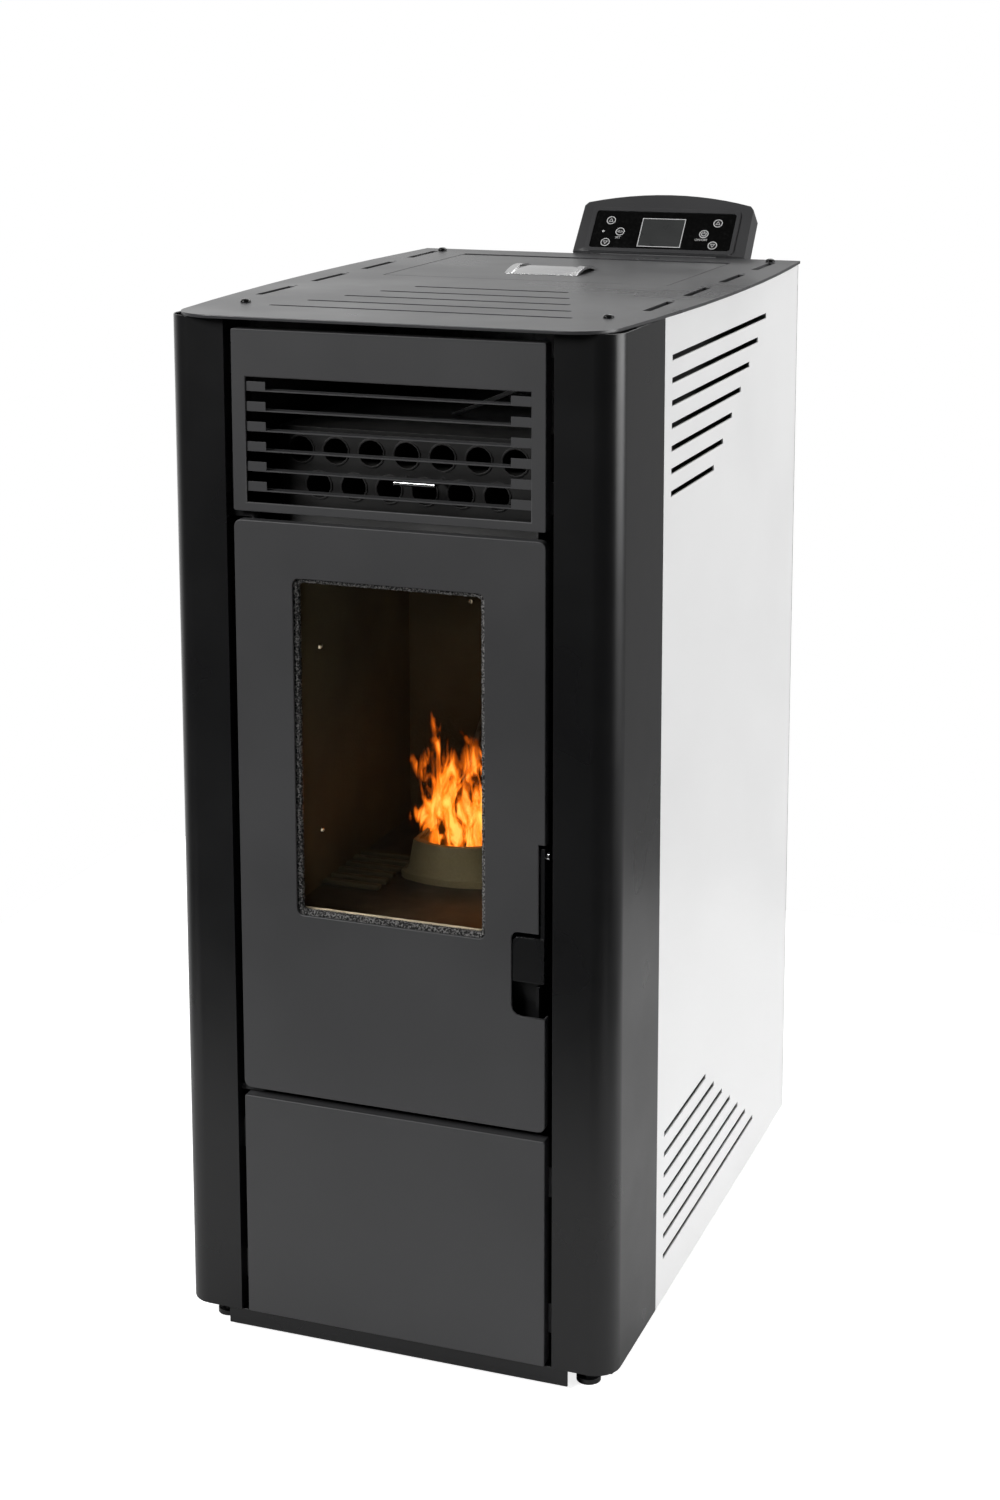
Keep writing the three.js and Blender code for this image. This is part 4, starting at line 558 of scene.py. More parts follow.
@dataclass(frozen=True)
class Fibre(Finish):
    """A strand of braided glass fibre."""

    light: Colour = (0.24, 0.235, 0.23)
    dark: Colour = (0.018, 0.018, 0.018)
    fleck_scale: float = 520.0
    relief: float = 0.1 * MM

    def dress(self, tree: Tree, shader: Node) -> None:
        """Links fibre: light flecks on dark.

        Args:
            tree: the material's tree.
            shader: its Principled shader.
        """
        place = tree.place()
        flecks = tree.spread(tree.noise(place, self.fleck_scale, 3.0), 0.46, 0.6, 0.0, 1.0)
        tone = tree.mix(flecks, self.dark, self.light)
        tree.fill(shader, {"Base Color": tone, "Roughness": tree.spread(flecks, 0.0, 1.0, 0.95, 0.6)})
        self.bump(tree, shader, flecks, self.relief)


@dataclass(frozen=True)
class Glazing(Finish):
    """Smoked ceramic glass with a faint haze, a trace of soot."""

    tint: Colour = (0.80, 0.74, 0.62)
    haze_scale: float = 9.0
    haze_share: float = 0.9
    ior: float = 1.1

    def dress(self, tree: Tree, shader: Node) -> None:
        """Links glass: a smoke tint with a faint haze.

        Args:
            tree: the material's tree.
            shader: its Principled shader.
        """
        haze = tree.spread(tree.noise(tree.place(), self.haze_scale, 5.0), 0.3, 0.8, 0.0, 1.0)
        darker = tuple(c * self.haze_share for c in self.tint)
        tone = tree.mix(haze, self.tint, darker)
        gloss = tree.spread(haze, 0.0, 1.0, 0.0, 0.03)
        tree.fill(shader, {
            "Base Color": tone,
            "Roughness": gloss,
            "Transmission Weight": 1.0,
            "IOR": self.ior,
        })


@dataclass(frozen=True)
class Gloss(Finish):
    """Gloss black acrylic with faint hairlines."""

    colour: Colour = (0.004, 0.004, 0.004)
    roughness: float = 0.12
    line_scale: float = 260.0
    line_gain: float = 0.004

    def dress(self, tree: Tree, shader: Node) -> None:
        """Links acrylic: black with faint hairlines.

        Args:
            tree: the material's tree.
            shader: its Principled shader.
        """
        place = tree.place()
        lines = tree.spread(tree.noise(place, self.line_scale, 6.0), 0.5, 0.72, 0.0, 1.0)
        lighter = tuple(c + self.line_gain for c in self.colour)
        gloss = tree.spread(lines, 0.0, 1.0, self.roughness, self.roughness + 0.1)
        tree.fill(shader, {"Base Color": tree.mix(lines, self.colour, lighter), "Roughness": gloss})


@dataclass(frozen=True)
class Panel(Finish):
    """The unlit display: grey with a fine dot screen."""

    colour: Colour = (0.055, 0.057, 0.057)
    dots: float = 1600.0
    drift_scale: float = 30.0
    dark_share: float = 0.8
    light_share: float = 1.25

    def dress(self, tree: Tree, shader: Node) -> None:
        """Links the display: a dot screen with a faint drift.

        Args:
            tree: the material's tree.
            shader: its Principled shader.
        """
        place = tree.place()
        cells = tree.add("ShaderNodeTexVoronoi")
        tree.fill(cells, {"Vector": place, "Scale": self.dots, "Randomness": 0.0})
        screen = tree.spread(cells.outputs["Distance"], 0.2, 0.5, 0.0, 1.0)
        drift = tree.spread(tree.noise(place, self.drift_scale, 2.0), 0.3, 0.7, 0.0, 0.4)
        darker = tuple(c * self.dark_share for c in self.colour)
        lighter = tuple(c * self.light_share for c in self.colour)
        tone = tree.mix(screen, self.colour, darker)
        gloss = tree.spread(drift, 0.0, 0.4, 0.24, 0.34)
        tree.fill(shader, {"Base Color": tree.mix(drift, tone, lighter), "Roughness": gloss})


@dataclass(frozen=True)
class Print(Finish):
    """Screen-printed ink; the same matt near-white also serves as a painted highlight on the grille stay and the
    window foot strip.
    """

    colour: Colour = (0.86, 0.86, 0.86)
    mottle_scale: float = 2500.0
    thin_share: float = 0.82

    def dress(self, tree: Tree, shader: Node) -> None:
        """Links ink: a faint mottle.

        Args:
            tree: the material's tree.
            shader: its Principled shader.
        """
        mottle = tree.spread(tree.noise(tree.place(), self.mottle_scale, 2.0), 0.35, 0.65, 0.0, 1.0)
        thin = tuple(c * self.thin_share for c in self.colour)
        gloss = tree.spread(mottle, 0.0, 1.0, 0.35, 0.55)
        tree.fill(shader, {"Base Color": tree.mix(mottle, self.colour, thin), "Roughness": gloss})


@dataclass(frozen=True)
class Flame(Finish):
    """Burning gas: wisps that glow from yellow to deep orange and thin out at their edges."""

    strength: float = 2.3
    wisp_scale: float = 75.0
    wisp_detail: float = 4.0
    wisp_distortion: float = 0.9
    wisp_draw: Triple = (1.0, 1.0, 0.32)
    cool: Colour = (0.35, 0.03, 0.0)
    warm: Colour = (0.95, 0.2, 0.01)
    warm_stop: float = 0.45
    hot: Colour = (1.0, 0.5, 0.1)
    char: Colour = (0.02, 0.008, 0.002)

    def dress(self, tree: Tree, shader: Node) -> None:
        """Links burning gas: heat worked out from the sheet's own map and a wispy noise.

        Args:
            tree: the material's tree.
            shader: its Principled shader.
        """
        sheet = tree.add("ShaderNodeSeparateXYZ")
        tree.link(tree.add("ShaderNodeUVMap").outputs[0], sheet.inputs[0])
        drawn = tree.fill(tree.add("ShaderNodeMapping"), {"Vector": tree.place(), "Scale": self.wisp_draw})
        wisp = tree.add("ShaderNodeTexNoise")
        tree.fill(wisp, {
            "Vector": drawn.outputs[0],
            "Scale": self.wisp_scale,
            "Detail": self.wisp_detail,
            "Distortion": self.wisp_distortion,
        })
        middle = tree.sum("ABSOLUTE", tree.sum("SUBTRACT", sheet.outputs["X"], 0.5), 0.0)
        core = tree.spread(middle, 0.1, 0.46, 1.0, 0.0)
        top = tree.spread(sheet.outputs["Y"], 0.45, 1.0, 1.0, 0.0)
        foot = tree.spread(sheet.outputs["Y"], 0.0, 0.06, 0.0, 1.0)
        body = tree.sum("MULTIPLY", tree.sum("MULTIPLY", core, top), foot)
        heat = tree.sum("MULTIPLY", body, tree.spread(wisp.outputs[0], 0.4, 0.66, 0.0, 1.3))
        ramp = tree.add("ShaderNodeValToRGB")
        ramp.color_ramp.elements[0].color = (*self.cool, 1.0)
        ramp.color_ramp.elements[1].color = (*self.hot, 1.0)
        ramp.color_ramp.elements.new(self.warm_stop).color = (*self.warm, 1.0)
        tree.link(heat, ramp.inputs[0])
        tree.fill(shader, {
            "Base Color": (*self.char, 1.0),
            "Emission Color": ramp.outputs[0],
            "Emission Strength": self.strength,
            "Alpha": tree.spread(heat, 0.1, 0.6, 0.0, 0.8),
            "Roughness": tree.spread(heat, 0.0, 1.0, 0.9, 0.7),
            "Specular IOR Level": 0.0,
        })


@dataclass(frozen=True)
class Ember(Finish):
    """Charred pellets with glowing cracks."""

    strength: float = 1.4
    crack_scale: float = 210.0
    relief: float = 0.3 * MM
    char: Colour = (0.02, 0.015, 0.012)
    ash: Colour = (0.12, 0.07, 0.04)
    dim: Colour = (0.02, 0.0, 0.0)
    bright: Colour = (1.0, 0.22, 0.02)

    def dress(self, tree: Tree, shader: Node) -> None:
        """Links charred pellets: glow in their cracks.

        Args:
            tree: the material's tree.
            shader: its Principled shader.
        """
        place = tree.place()
        glow = tree.spread(tree.noise(place, self.crack_scale, 4.0), 0.5, 0.68, 0.0, 1.0)
        tree.fill(shader, {
            "Base Color": tree.mix(glow, self.char, self.ash),
            "Emission Color": tree.mix(glow, self.dim, self.bright),
            "Emission Strength": self.strength,
            "Roughness": tree.spread(glow, 0.0, 1.0, 0.9, 0.7),
        })
        self.bump(tree, shader, glow, self.relief)


# each finish's edge gain lightens its edges: partly wear, partly painted highlight
FINISHES: dict[Slot, Finish] = {
    Slot.CHARCOAL: Paint("charcoal_powder_coat", colour=(0.058, 0.058, 0.06)),
    Slot.BLACK: Paint(
        "black_enamel", colour=(0.009, 0.009, 0.0095), roughness=0.3, grain=1800.0, relief=0.0015 * MM,
        edge=0.7 * MM, edge_wear_and_highlight_gain=2.0,
    ),
    Slot.WHITE: Paint(
        "white_enamel", colour=(0.85, 0.85, 0.85), variation=0.012, roughness=0.38, grain=1800.0,
        relief=0.002 * MM, edge_wear_and_highlight_gain=1.02,
    ),
    Slot.PLATE: Paint(
        "anthracite_powder_coat", colour=(0.055, 0.055, 0.058), roughness=0.31, grain=1300.0,
        relief=0.006 * MM, edge=0.2 * MM, edge_wear_and_highlight_gain=1.0,
    ),
    Slot.CAST: Heated(
        "pot_casting", colour=(0.2, 0.185, 0.13), soot=(0.09, 0.08, 0.055), sootiness=0.5,
        relief=0.12 * MM, roughness=0.66, metallic=0.2,
    ),
    # edges five times lighter: painted highlights, such as the bright rims of the exchanger tubes
    Slot.DARK_STEEL: Heated(
        "stove_black", colour=(0.045, 0.044, 0.043), soot=(0.02, 0.02, 0.02), grain=900.0,
        relief=0.03 * MM, roughness=0.55, metallic=0.3, edge_wear_and_highlight_gain=5.0,
    ),
    Slot.ZINC: Zinc("galvanised_sheet"),
    Slot.CHROME: Metal(
        "polished_chrome", colour=(0.82, 0.82, 0.82), dull=(0.74, 0.74, 0.75), roughness=0.13,
        grain=300.0, relief=0.002 * MM,
    ),
    Slot.ROPE: Fibre("braided_fibre"),
    Slot.VERMICULITE: Heated(
        "fire_board", colour=(0.076, 0.072, 0.05), soot=(0.03, 0.028, 0.02), grain=260.0
    ),
    Slot.GLASS: Glazing("smoked_glass"),
    Slot.GLOSS_BLACK: Gloss("gloss_acrylic"),
    Slot.SCREW_BLACK: Paint(
        "blackened_screw", colour=(0.006, 0.006, 0.006), roughness=0.16, grain=400.0,
        relief=0.003 * MM, edge_wear_and_highlight_gain=2.0,
    ),
    Slot.KEY: Gloss("membrane_key", colour=(0.006, 0.006, 0.006), roughness=0.3),
    Slot.DISPLAY: Panel("display_glass"),
    Slot.HOUSING: Paint(
        "moulded_housing", colour=(0.048, 0.048, 0.05), grain=2600.0, relief=0.03 * MM,
        edge=0.8 * MM, edge_wear_and_highlight_gain=1.3,
    ),
    Slot.BOARD: Paint(
        "circuit_board", colour=(0.012, 0.09, 0.03), variation=0.3, roughness=0.35, grain=400.0
    ),
    Slot.ALLOY: Metal(
        "turned_alloy", colour=(0.5, 0.51, 0.53), dull=(0.4, 0.41, 0.42), roughness=0.38,
        stretch=(1.0, 1.0, 4.0),
    ),
}


class Paintbox:
    """Builds each finish's material once."""

    def __init__(self) -> None:
        """Starts empty."""
        self.made: dict[Finish, bpy.types.Material] = {}

    def get(self, finish: Finish | Slot) -> bpy.types.Material:
        """The material of a finish, or of a slot's finish, built on first use.

        Args:
            finish: the finish or the slot.

        Returns:
            The material.
        """
        wanted = FINISHES[finish] if isinstance(finish, Slot) else finish
        if wanted not in self.made:
            self.made[wanted] = wanted.material()
        return self.made[wanted]


PAINTS = Paintbox()


# ---------------------------------------------------------------- meshes


def body_of(node: str) -> str:
    """The body that a CAD node rides on."""
    bodies = frame["record"]["behaviour"]["bodies"]
    return next(body for body, nodes in bodies.items() if node in nodes)


def slot_of(node: str) -> Slot:
    """The slot that the record gives a CAD node."""
    rows = frame["record"]["subparts"]
    return next(Slot(row["material_slot"]) for row in rows if row["node"] == node)


def settle(
    mesh: BMesh | bpy.types.Mesh,
    name: str,
    finish: Finish | Slot,
    body: str,
    smooth: bool = True,
) -> Piece:
    """Makes a piece of a mesh that is already in its place.

    Args:
        mesh: the mesh, or a bmesh, which is freed.
        name: the piece's name.
        finish: its finish.
        body: the body it rides on.
        smooth: shade its round faces smooth.

    Returns:
        The piece.
    """
    if isinstance(mesh, BMesh):
        data = bpy.data.meshes.new(name)
        mesh.to_mesh(data)
        mesh.free()
    else:
        data = mesh
    if smooth:
        data.shade_smooth()
        data.set_sharp_from_angle(angle=SMOOTH_ANGLE)
    data.materials.clear()
    data.materials.append(PAINTS.get(finish))
    piece = bpy.data.objects.new(name, data)
    bpy.context.scene.collection.objects.link(piece)
    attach(piece, body)
    log.info("%s: %d faces", name, len(data.polygons))
    return piece


def soften(
    bm: BMesh,
    edges: Iterable[bmesh.types.BMEdge],
    width: float,
    segments: int = 2,
    clamp: bool = True,
) -> None:
    """Rounds edges.

    Args:
        bm: the mesh.
        edges: the edges.
        width: how far the round reaches from each edge.
        segments: faces across the round.
        clamp: keep neighbouring rounds from overlapping.
    """
    bmesh.ops.bevel(
        bm, geom=list(edges), offset=width, offset_type="OFFSET", affect="EDGES", segments=segments,
        profile=0.5, material=-1, clamp_overlap=clamp,
    )


@dataclass(frozen=True)
class EdgeRound:
    """Edges to round on a copy of a node: those of its outermost face in a direction."""

    direction: Triple
    width: float
    segments: int = 3
    outer_only: bool = False

    def apply(self, bm: BMesh) -> None:
        """Rounds the edges.

        Args:
            bm: the merged copy.
        """
        way = Vector(self.direction).normalized()
        reach = max(vert.co.dot(way) for vert in bm.verts)
        edges = []
        for edge in bm.edges:
            on_face = all(reach - vert.co.dot(way) < FACE_TOLERANCE for vert in edge.verts)
            turns = edge.is_manifold and edge.calc_face_angle() > SHARP_TURN
            if on_face and turns and (not self.outer_only or self.is_outer(bm, edge)):
                edges.append(edge)
        soften(bm, edges, self.width, self.segments, clamp=False)

    def is_outer(self, bm: BMesh, edge: bmesh.types.BMEdge) -> bool:
        """Whether an edge lies on the outline of its mesh, seen along the direction.

        Args:
            bm: the mesh.
            edge: the edge.

        Returns:
            True on the outline.
        """
        across = [axis for axis in range(3) if abs(self.direction[axis]) < 0.5]
        for axis in across:
            values = [vert.co[axis] for vert in bm.verts]
            for limit in (min(values), max(values)):
                if all(abs(vert.co[axis] - limit) < OUTLINE_TOLERANCE for vert in edge.verts):
                    return True
        return False


def skin(node: str, rounds: Sequence[EdgeRound] = ()) -> Piece:
    """Replaces a CAD node by a merged copy with rounded edges and smooth round faces.

    Args:
        node: the CAD node.
        rounds: the edges to round.

    Returns:
        The piece.
    """
    bm = bmesh.new()
    bm.from_mesh(frame["nodes"][node].data)
    bmesh.ops.remove_doubles(bm, verts=bm.verts, dist=MERGE_DISTANCE)
    bmesh.ops.dissolve_limit(bm, angle_limit=FLAT_ANGLE, verts=bm.verts, edges=bm.edges)
    for item in rounds:
        item.apply(bm)
    piece = settle(bm, node + "_finished", slot_of(node), body_of(node))
    piece.modifiers.new("even_shading", "WEIGHTED_NORMAL").keep_sharp = True
    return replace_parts(piece, node)


def paint(node: str) -> None:
    """Gives a CAD node that stays as it is the material of its slot.

    Args:
        node: the CAD node.
    """
    data = frame["nodes"][node].data
    data.materials.clear()
    data.materials.append(PAINTS.get(slot_of(node)))
    log.info("%s: painted", node)


def middle(node: str) -> Vector:
    """The middle of a node's box."""
    low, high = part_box(node)
    return (low + high) / 2


def turned_to(direction: Vector, centre: Vector) -> Matrix:
    """A place whose Z axis points in a direction."""
    return Matrix.Translation(centre) @ direction.to_track_quat("Z", "Y").to_matrix().to_4x4()


def add_rod(
    bm: BMesh, start: Vector, end: Vector, radius: float, soft: float, sides: int = 16
) -> None:
    """Adds a round rod with softened ends.

    Args:
        bm: the mesh.
        start: middle of one end.
        end: middle of the other.
        radius: the rod's radius.
        soft: radius of its end edges.
        sides: faces round it.
    """
    made = bmesh.ops.create_cone(
        bm, cap_ends=True, segments=sides, radius1=radius, radius2=radius, depth=(end - start).length,
        matrix=turned_to(end - start, (start + end) / 2),
    )
    caps = {face for vert in made["verts"] for face in vert.link_faces if len(face.verts) == sides}
    soften(bm, {edge for face in caps for edge in face.edges}, soft)


def add_block(bm: BMesh, low: Vector, high: Vector, soft: float) -> None:
    """Adds a block with rounded edges.

    Args:
        bm: the mesh.
        low: its lowest corner.
        high: its highest corner.
        soft: radius of its edges.
    """
    size = Matrix.Diagonal((*(high - low), 1.0))
    made = bmesh.ops.create_cube(bm, size=1.0, matrix=Matrix.Translation((low + high) / 2) @ size)
    soften(bm, {edge for vert in made["verts"] for edge in vert.link_edges}, soft)


@dataclass(frozen=True)
class ScrewHead:
    """A domed screw head with a round recess; its proportions are shares of its radius."""

    radius: float
    sides: int = 24
    rise: float = 0.6
    dome: float = 0.72
    rim: float = 0.26
    lip: float = 0.06
    recess_step: float = 0.03
    recess: float = 0.3

    def add(self, bm: BMesh, seat: Vector, direction: Vector) -> None:
        """Adds the head, standing on its seat.

        Args:
            bm: the mesh.
            seat: middle of the head's underside.
            direction: where the head points.
        """
        size = self.radius
        made = bmesh.ops.create_cone(
            bm, cap_ends=True, segments=self.sides, radius1=size, radius2=size * self.dome,
            depth=size * self.rise,
            matrix=turned_to(direction, seat + direction.normalized() * size * self.rise / 2),
        )
        top = max(
            {face for vert in made["verts"] for face in vert.link_faces},
            key=lambda face: face.calc_center_median().dot(direction),
        )
        bmesh.ops.inset_individual(bm, faces=[top], thickness=size * self.rim, depth=size * self.lip)
        bmesh.ops.inset_individual(
            bm, faces=[top], thickness=size * self.recess_step, depth=-size * self.recess
        )


def hollow(bm: BMesh, made: dict[str, Any], line: float) -> None:
    """Leaves only a line of a flat shape's border.

    Args:
        bm: the mesh.
        made: what made the shape, a single face.
        line: the line's width.
    """
    face = made["verts"][0].link_faces[0]
    bmesh.ops.inset_individual(bm, faces=[face], thickness=line)
    bmesh.ops.delete(bm, geom=[face], context="FACES_ONLY")


def mesh_of_curve(curve: bpy.types.Curve, name: str) -> bpy.types.Mesh:
    """Turns a curve into a mesh.

    Args:
        curve: the curve, which is removed.
        name: the mesh's name.

    Returns:
        The mesh.
    """
    holder = bpy.data.objects.new(name, curve)
    bpy.context.scene.collection.objects.link(holder)
    bpy.context.view_layer.update()
    made = bpy.data.meshes.new_from_object(holder)
    bpy.data.objects.remove(holder)
    bpy.data.curves.remove(curve)
    made.name = name
    return made


# ---------------------------------------------------------------- casing


@dataclass
class Casing:
    """The painted casing: tray, feet, columns, side and rear panels, top plate and its screws."""

    panel_edge: float = 0.5 * MM
    plate_edge: float = 0.6 * MM
    screw_edge: float = 0.8 * MM
    rear_screw: ScrewHead = ScrewHead(4.2 * MM)
    rear_screw_inset: float = 12 * MM
    rear_screw_rows: int = 5
    shield_reach: float = 0.1775
    shield_thickness: float = 1.5 * MM
    shield_low: Span = (-0.345, 0.0215)
    shield_high: Span = (0.258, 1.015)
    shield_border: float = 22 * MM
    shield_pressing: float = 0.5 * MM
    shield_edge: float = 0.3 * MM
    plain: tuple[str, ...] = ("base_tray", "left_side_panel", "right_side_panel", "rear_panel")
    corners: tuple[str, ...] = ("front_left", "front_right", "back_left", "back_right")

    def build(self) -> None:
        """Builds every piece of the casing."""
        for node in self.plain:
            skin(node)
        for side in ("left", "right"):
            skin(side + "_column", [EdgeRound((0, 0, 1), self.panel_edge, 2)])
        skin("top_plate", [EdgeRound((0, 0, 1), self.plate_edge, outer_only=True)])
        for corner in self.corners:
            skin("foot_" + corner)
            skin("top_screw_" + corner, [EdgeRound((0, 0, 1), self.screw_edge)])
        self.rear_screws()
        for name, side in (("left", -1), ("right", 1)):
            self.shield(name, side)

    def shield(self, name: str, side: int) -> Piece:
        """The dark sheet behind the slots of a side panel, its middle pressed in.

        Args:
            name: left or right.
            side: -1 for the left, 1 for the right.

        Returns:
            The piece.
        """
        edges = sorted((side * self.shield_reach, side * (self.shield_reach - self.shield_thickness)))
        bm = bmesh.new()
        low = Vector((edges[0], *self.shield_low))
        high = Vector((edges[1], *self.shield_high))
        add_block(bm, low, high, self.shield_edge)
        outer = max(bm.faces, key=lambda face: face.calc_center_median().x * side)
        bmesh.ops.inset_individual(bm, faces=[outer], thickness=self.shield_border)
        bmesh.ops.inset_individual(
            bm, faces=[outer], thickness=2 * self.shield_pressing, depth=-self.shield_pressing
        )
        return settle(bm, "inner_shield_" + name, Slot.DARK_STEEL, Body.STOVE.value)

    def rear_screws(self) -> Piece:
        """Screw heads along both edges of the rear panel.

        Returns:
            The piece.
        """
        low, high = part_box("rear_panel")
        bm = bmesh.new()
        for row in range(self.rear_screw_rows):
            share = row / (self.rear_screw_rows - 1)
            z = low.z + 3 * self.rear_screw_inset + share * (high.z - low.z - 6 * self.rear_screw_inset)
            for x in (low.x + self.rear_screw_inset, high.x - self.rear_screw_inset):
                self.rear_screw.add(bm, Vector((x, high.y, z)), Vector((0, 1, 0)))
        return settle(bm, "rear_panel_screws", Slot.SCREW_BLACK, Body.STOVE.value)


@dataclass
class Lid:
    """The hopper lid and its pull."""

    edge: float = 0.3 * MM

    def build(self) -> None:
        """Builds the lid's pieces."""
        skin("hopper_lid", [EdgeRound((0, 0, 1), self.edge)])
        skin("lid_pull")


@dataclass
class Front:
    """The grille panel with its blades, and the lower panel."""

    fold: float = 1.1 * MM
    blades: int = 6
    stay_start: Vector = field(default_factory=lambda: Vector((-0.0032, -0.19, 0.9155)))
    stay_end: Vector = field(default_factory=lambda: Vector((0.150, -0.3335, 0.982)))
    stay_radius: float = 2.2 * MM
    stay_edge: float = 0.6 * MM

    def build(self) -> None:
        """Builds the front's pieces."""
        front = EdgeRound((0, -1, 0), self.fold)
        skin("grille_panel", [front])
        skin("lower_panel", [front])
        for number in range(1, self.blades + 1):
            skin(f"louvre_{number}")
        self.stay()

    def stay(self) -> Piece:
        """The stay behind the top right of the grille, painted matt near-white as a painted reflection of its
        chrome.

        Returns:
            The piece.
        """
        bm = bmesh.new()
        add_rod(bm, self.stay_start, self.stay_end, self.stay_radius, self.stay_edge)
        # matt near-white in place of chrome: a painted reflection
        return settle(bm, "grille_stay", Print("stay_painted_reflection"), Body.STOVE.value)


# ---------------------------------------------------------------- door


@dataclass
class Braid:
    """A braided rope laid in the channel of a CAD rope node."""

    node: str
    name: str
    radius: float
    corner: float
    strands: int = 6
    pitch: float = 15 * MM
    steps: int = 7
    strand_sides: int = 1
    strand_share: float = 0.3
    reach_share: float = 0.66
    weave_share: float = 0.06

    def path(self) -> list[tuple[Vector, Vector]]:
        """Points along the rope's middle line, each with the direction out of the ring.

        Returns:
            The points and their directions, once round.
        """
        low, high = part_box(self.node)
        y = (low.y + high.y) / 2
        half = (high.x - low.x) / 2 - self.radius
        x = (high.x + low.x) / 2
        bottom = low.z + self.radius
        top = high.z - self.radius
        step = self.pitch / self.steps
        corners = (
            (x + half - self.corner, bottom + self.corner, -90),
            (x + half - self.corner, top - self.corner, 0),
            (x - half + self.corner, top - self.corner, 90),
            (x - half + self.corner, bottom + self.corner, 180),
        )
        turns: list[tuple[Vector, Vector]] = []
        for cx, cz, start in corners:
            count = max(4, round(self.corner * math.pi / 2 / step))
            for number in range(count + 1):
                angle = math.radians(start + 90 * number / count)
                out = Vector((math.cos(angle), 0, math.sin(angle)))
                turns.append((Vector((cx, y, cz)) + out * self.corner, out))
        points: list[tuple[Vector, Vector]] = []
        for (a, out_a), (b, out_b) in zip(turns, turns[1:] + turns[:1]):
            count = max(1, round((b - a).length / step))
            for number in range(count):
                points.append((a.lerp(b, number / count), out_a.lerp(out_b, number / count)))
        return points

    def build(self) -> Piece:
        """Builds the rope.

        Returns:
            The piece.
        """
        points = self.path()
        turns = round(len(points) / self.steps)
        curve = bpy.data.curves.new(self.name, "CURVE")
        curve.dimensions = "3D"
        curve.bevel_depth = self.radius * self.strand_share
        curve.bevel_resolution = self.strand_sides
        across = Vector((0, 1, 0))
        for hand in (-1, 1):
            for strand in range(self.strands):
                line = curve.splines.new("POLY")
                line.points.add(len(points) - 1)
                line.use_cyclic_u = True
                for number, (centre, out) in enumerate(points):
                    lay = number / len(points) * turns
                    angle = math.tau * (hand * lay + strand / self.strands)
                    weave = math.cos(math.tau * lay * self.strands / 2 + hand * math.pi / 2)
                    reach = self.radius * (self.reach_share + self.weave_share * weave)
                    spot = centre + (out * math.cos(angle) + across * math.sin(angle)) * reach
                    line.points[number].co = (*spot, 1.0)
        piece = settle(mesh_of_curve(curve, self.name), self.name, Slot.ROPE, body_of(self.node))
        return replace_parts(piece, self.node)


@dataclass
class Door:
    """The door: panel, frame, glass with its foot strip, ropes and handle."""

    fold: float = 1.1 * MM
    ropes: tuple[Braid, ...] = (
        Braid("glass_rope", "glass_rope_braid", radius=4.6 * MM, corner=8 * MM),
        Braid("door_rope", "door_rope_braid", radius=5.0 * MM, corner=12 * MM, pitch=17 * MM),
    )
    strip_radius: float = 1.3 * MM
    strip_edge: float = 0.4 * MM
    strip_inset: float = 10 * MM
    strip_z: float = 0.4485

    def build(self) -> None:
        """Builds the door's pieces."""
        skin("door_panel", [EdgeRound((0, -1, 0), self.fold)])
        for node in ("door_frame", "door_handle", "handle_pin"):
            skin(node)
        paint("door_glass")
        self.foot_strip()
        for rope in self.ropes:
            rope.build()

    def foot_strip(self) -> Piece:
        """The strip that the glass stands on, seen along the window's lower edge, painted matt near-white as a
        painted highlight.

        Returns:
            The piece.
        """
        low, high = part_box("door_glass")
        start = Vector((low.x + self.strip_inset, high.y + self.strip_radius, self.strip_z))
        end = Vector((high.x - self.strip_inset, start.y, start.z))
        bm = bmesh.new()
        add_rod(bm, start, end, self.strip_radius, self.strip_edge)
        # matt near-white: a painted highlight along the window's lower edge
        return settle(bm, "window_foot_strip", Print("strip_painted_highlight"), Body.DOOR.value)


# ---------------------------------------------------------------- fire side


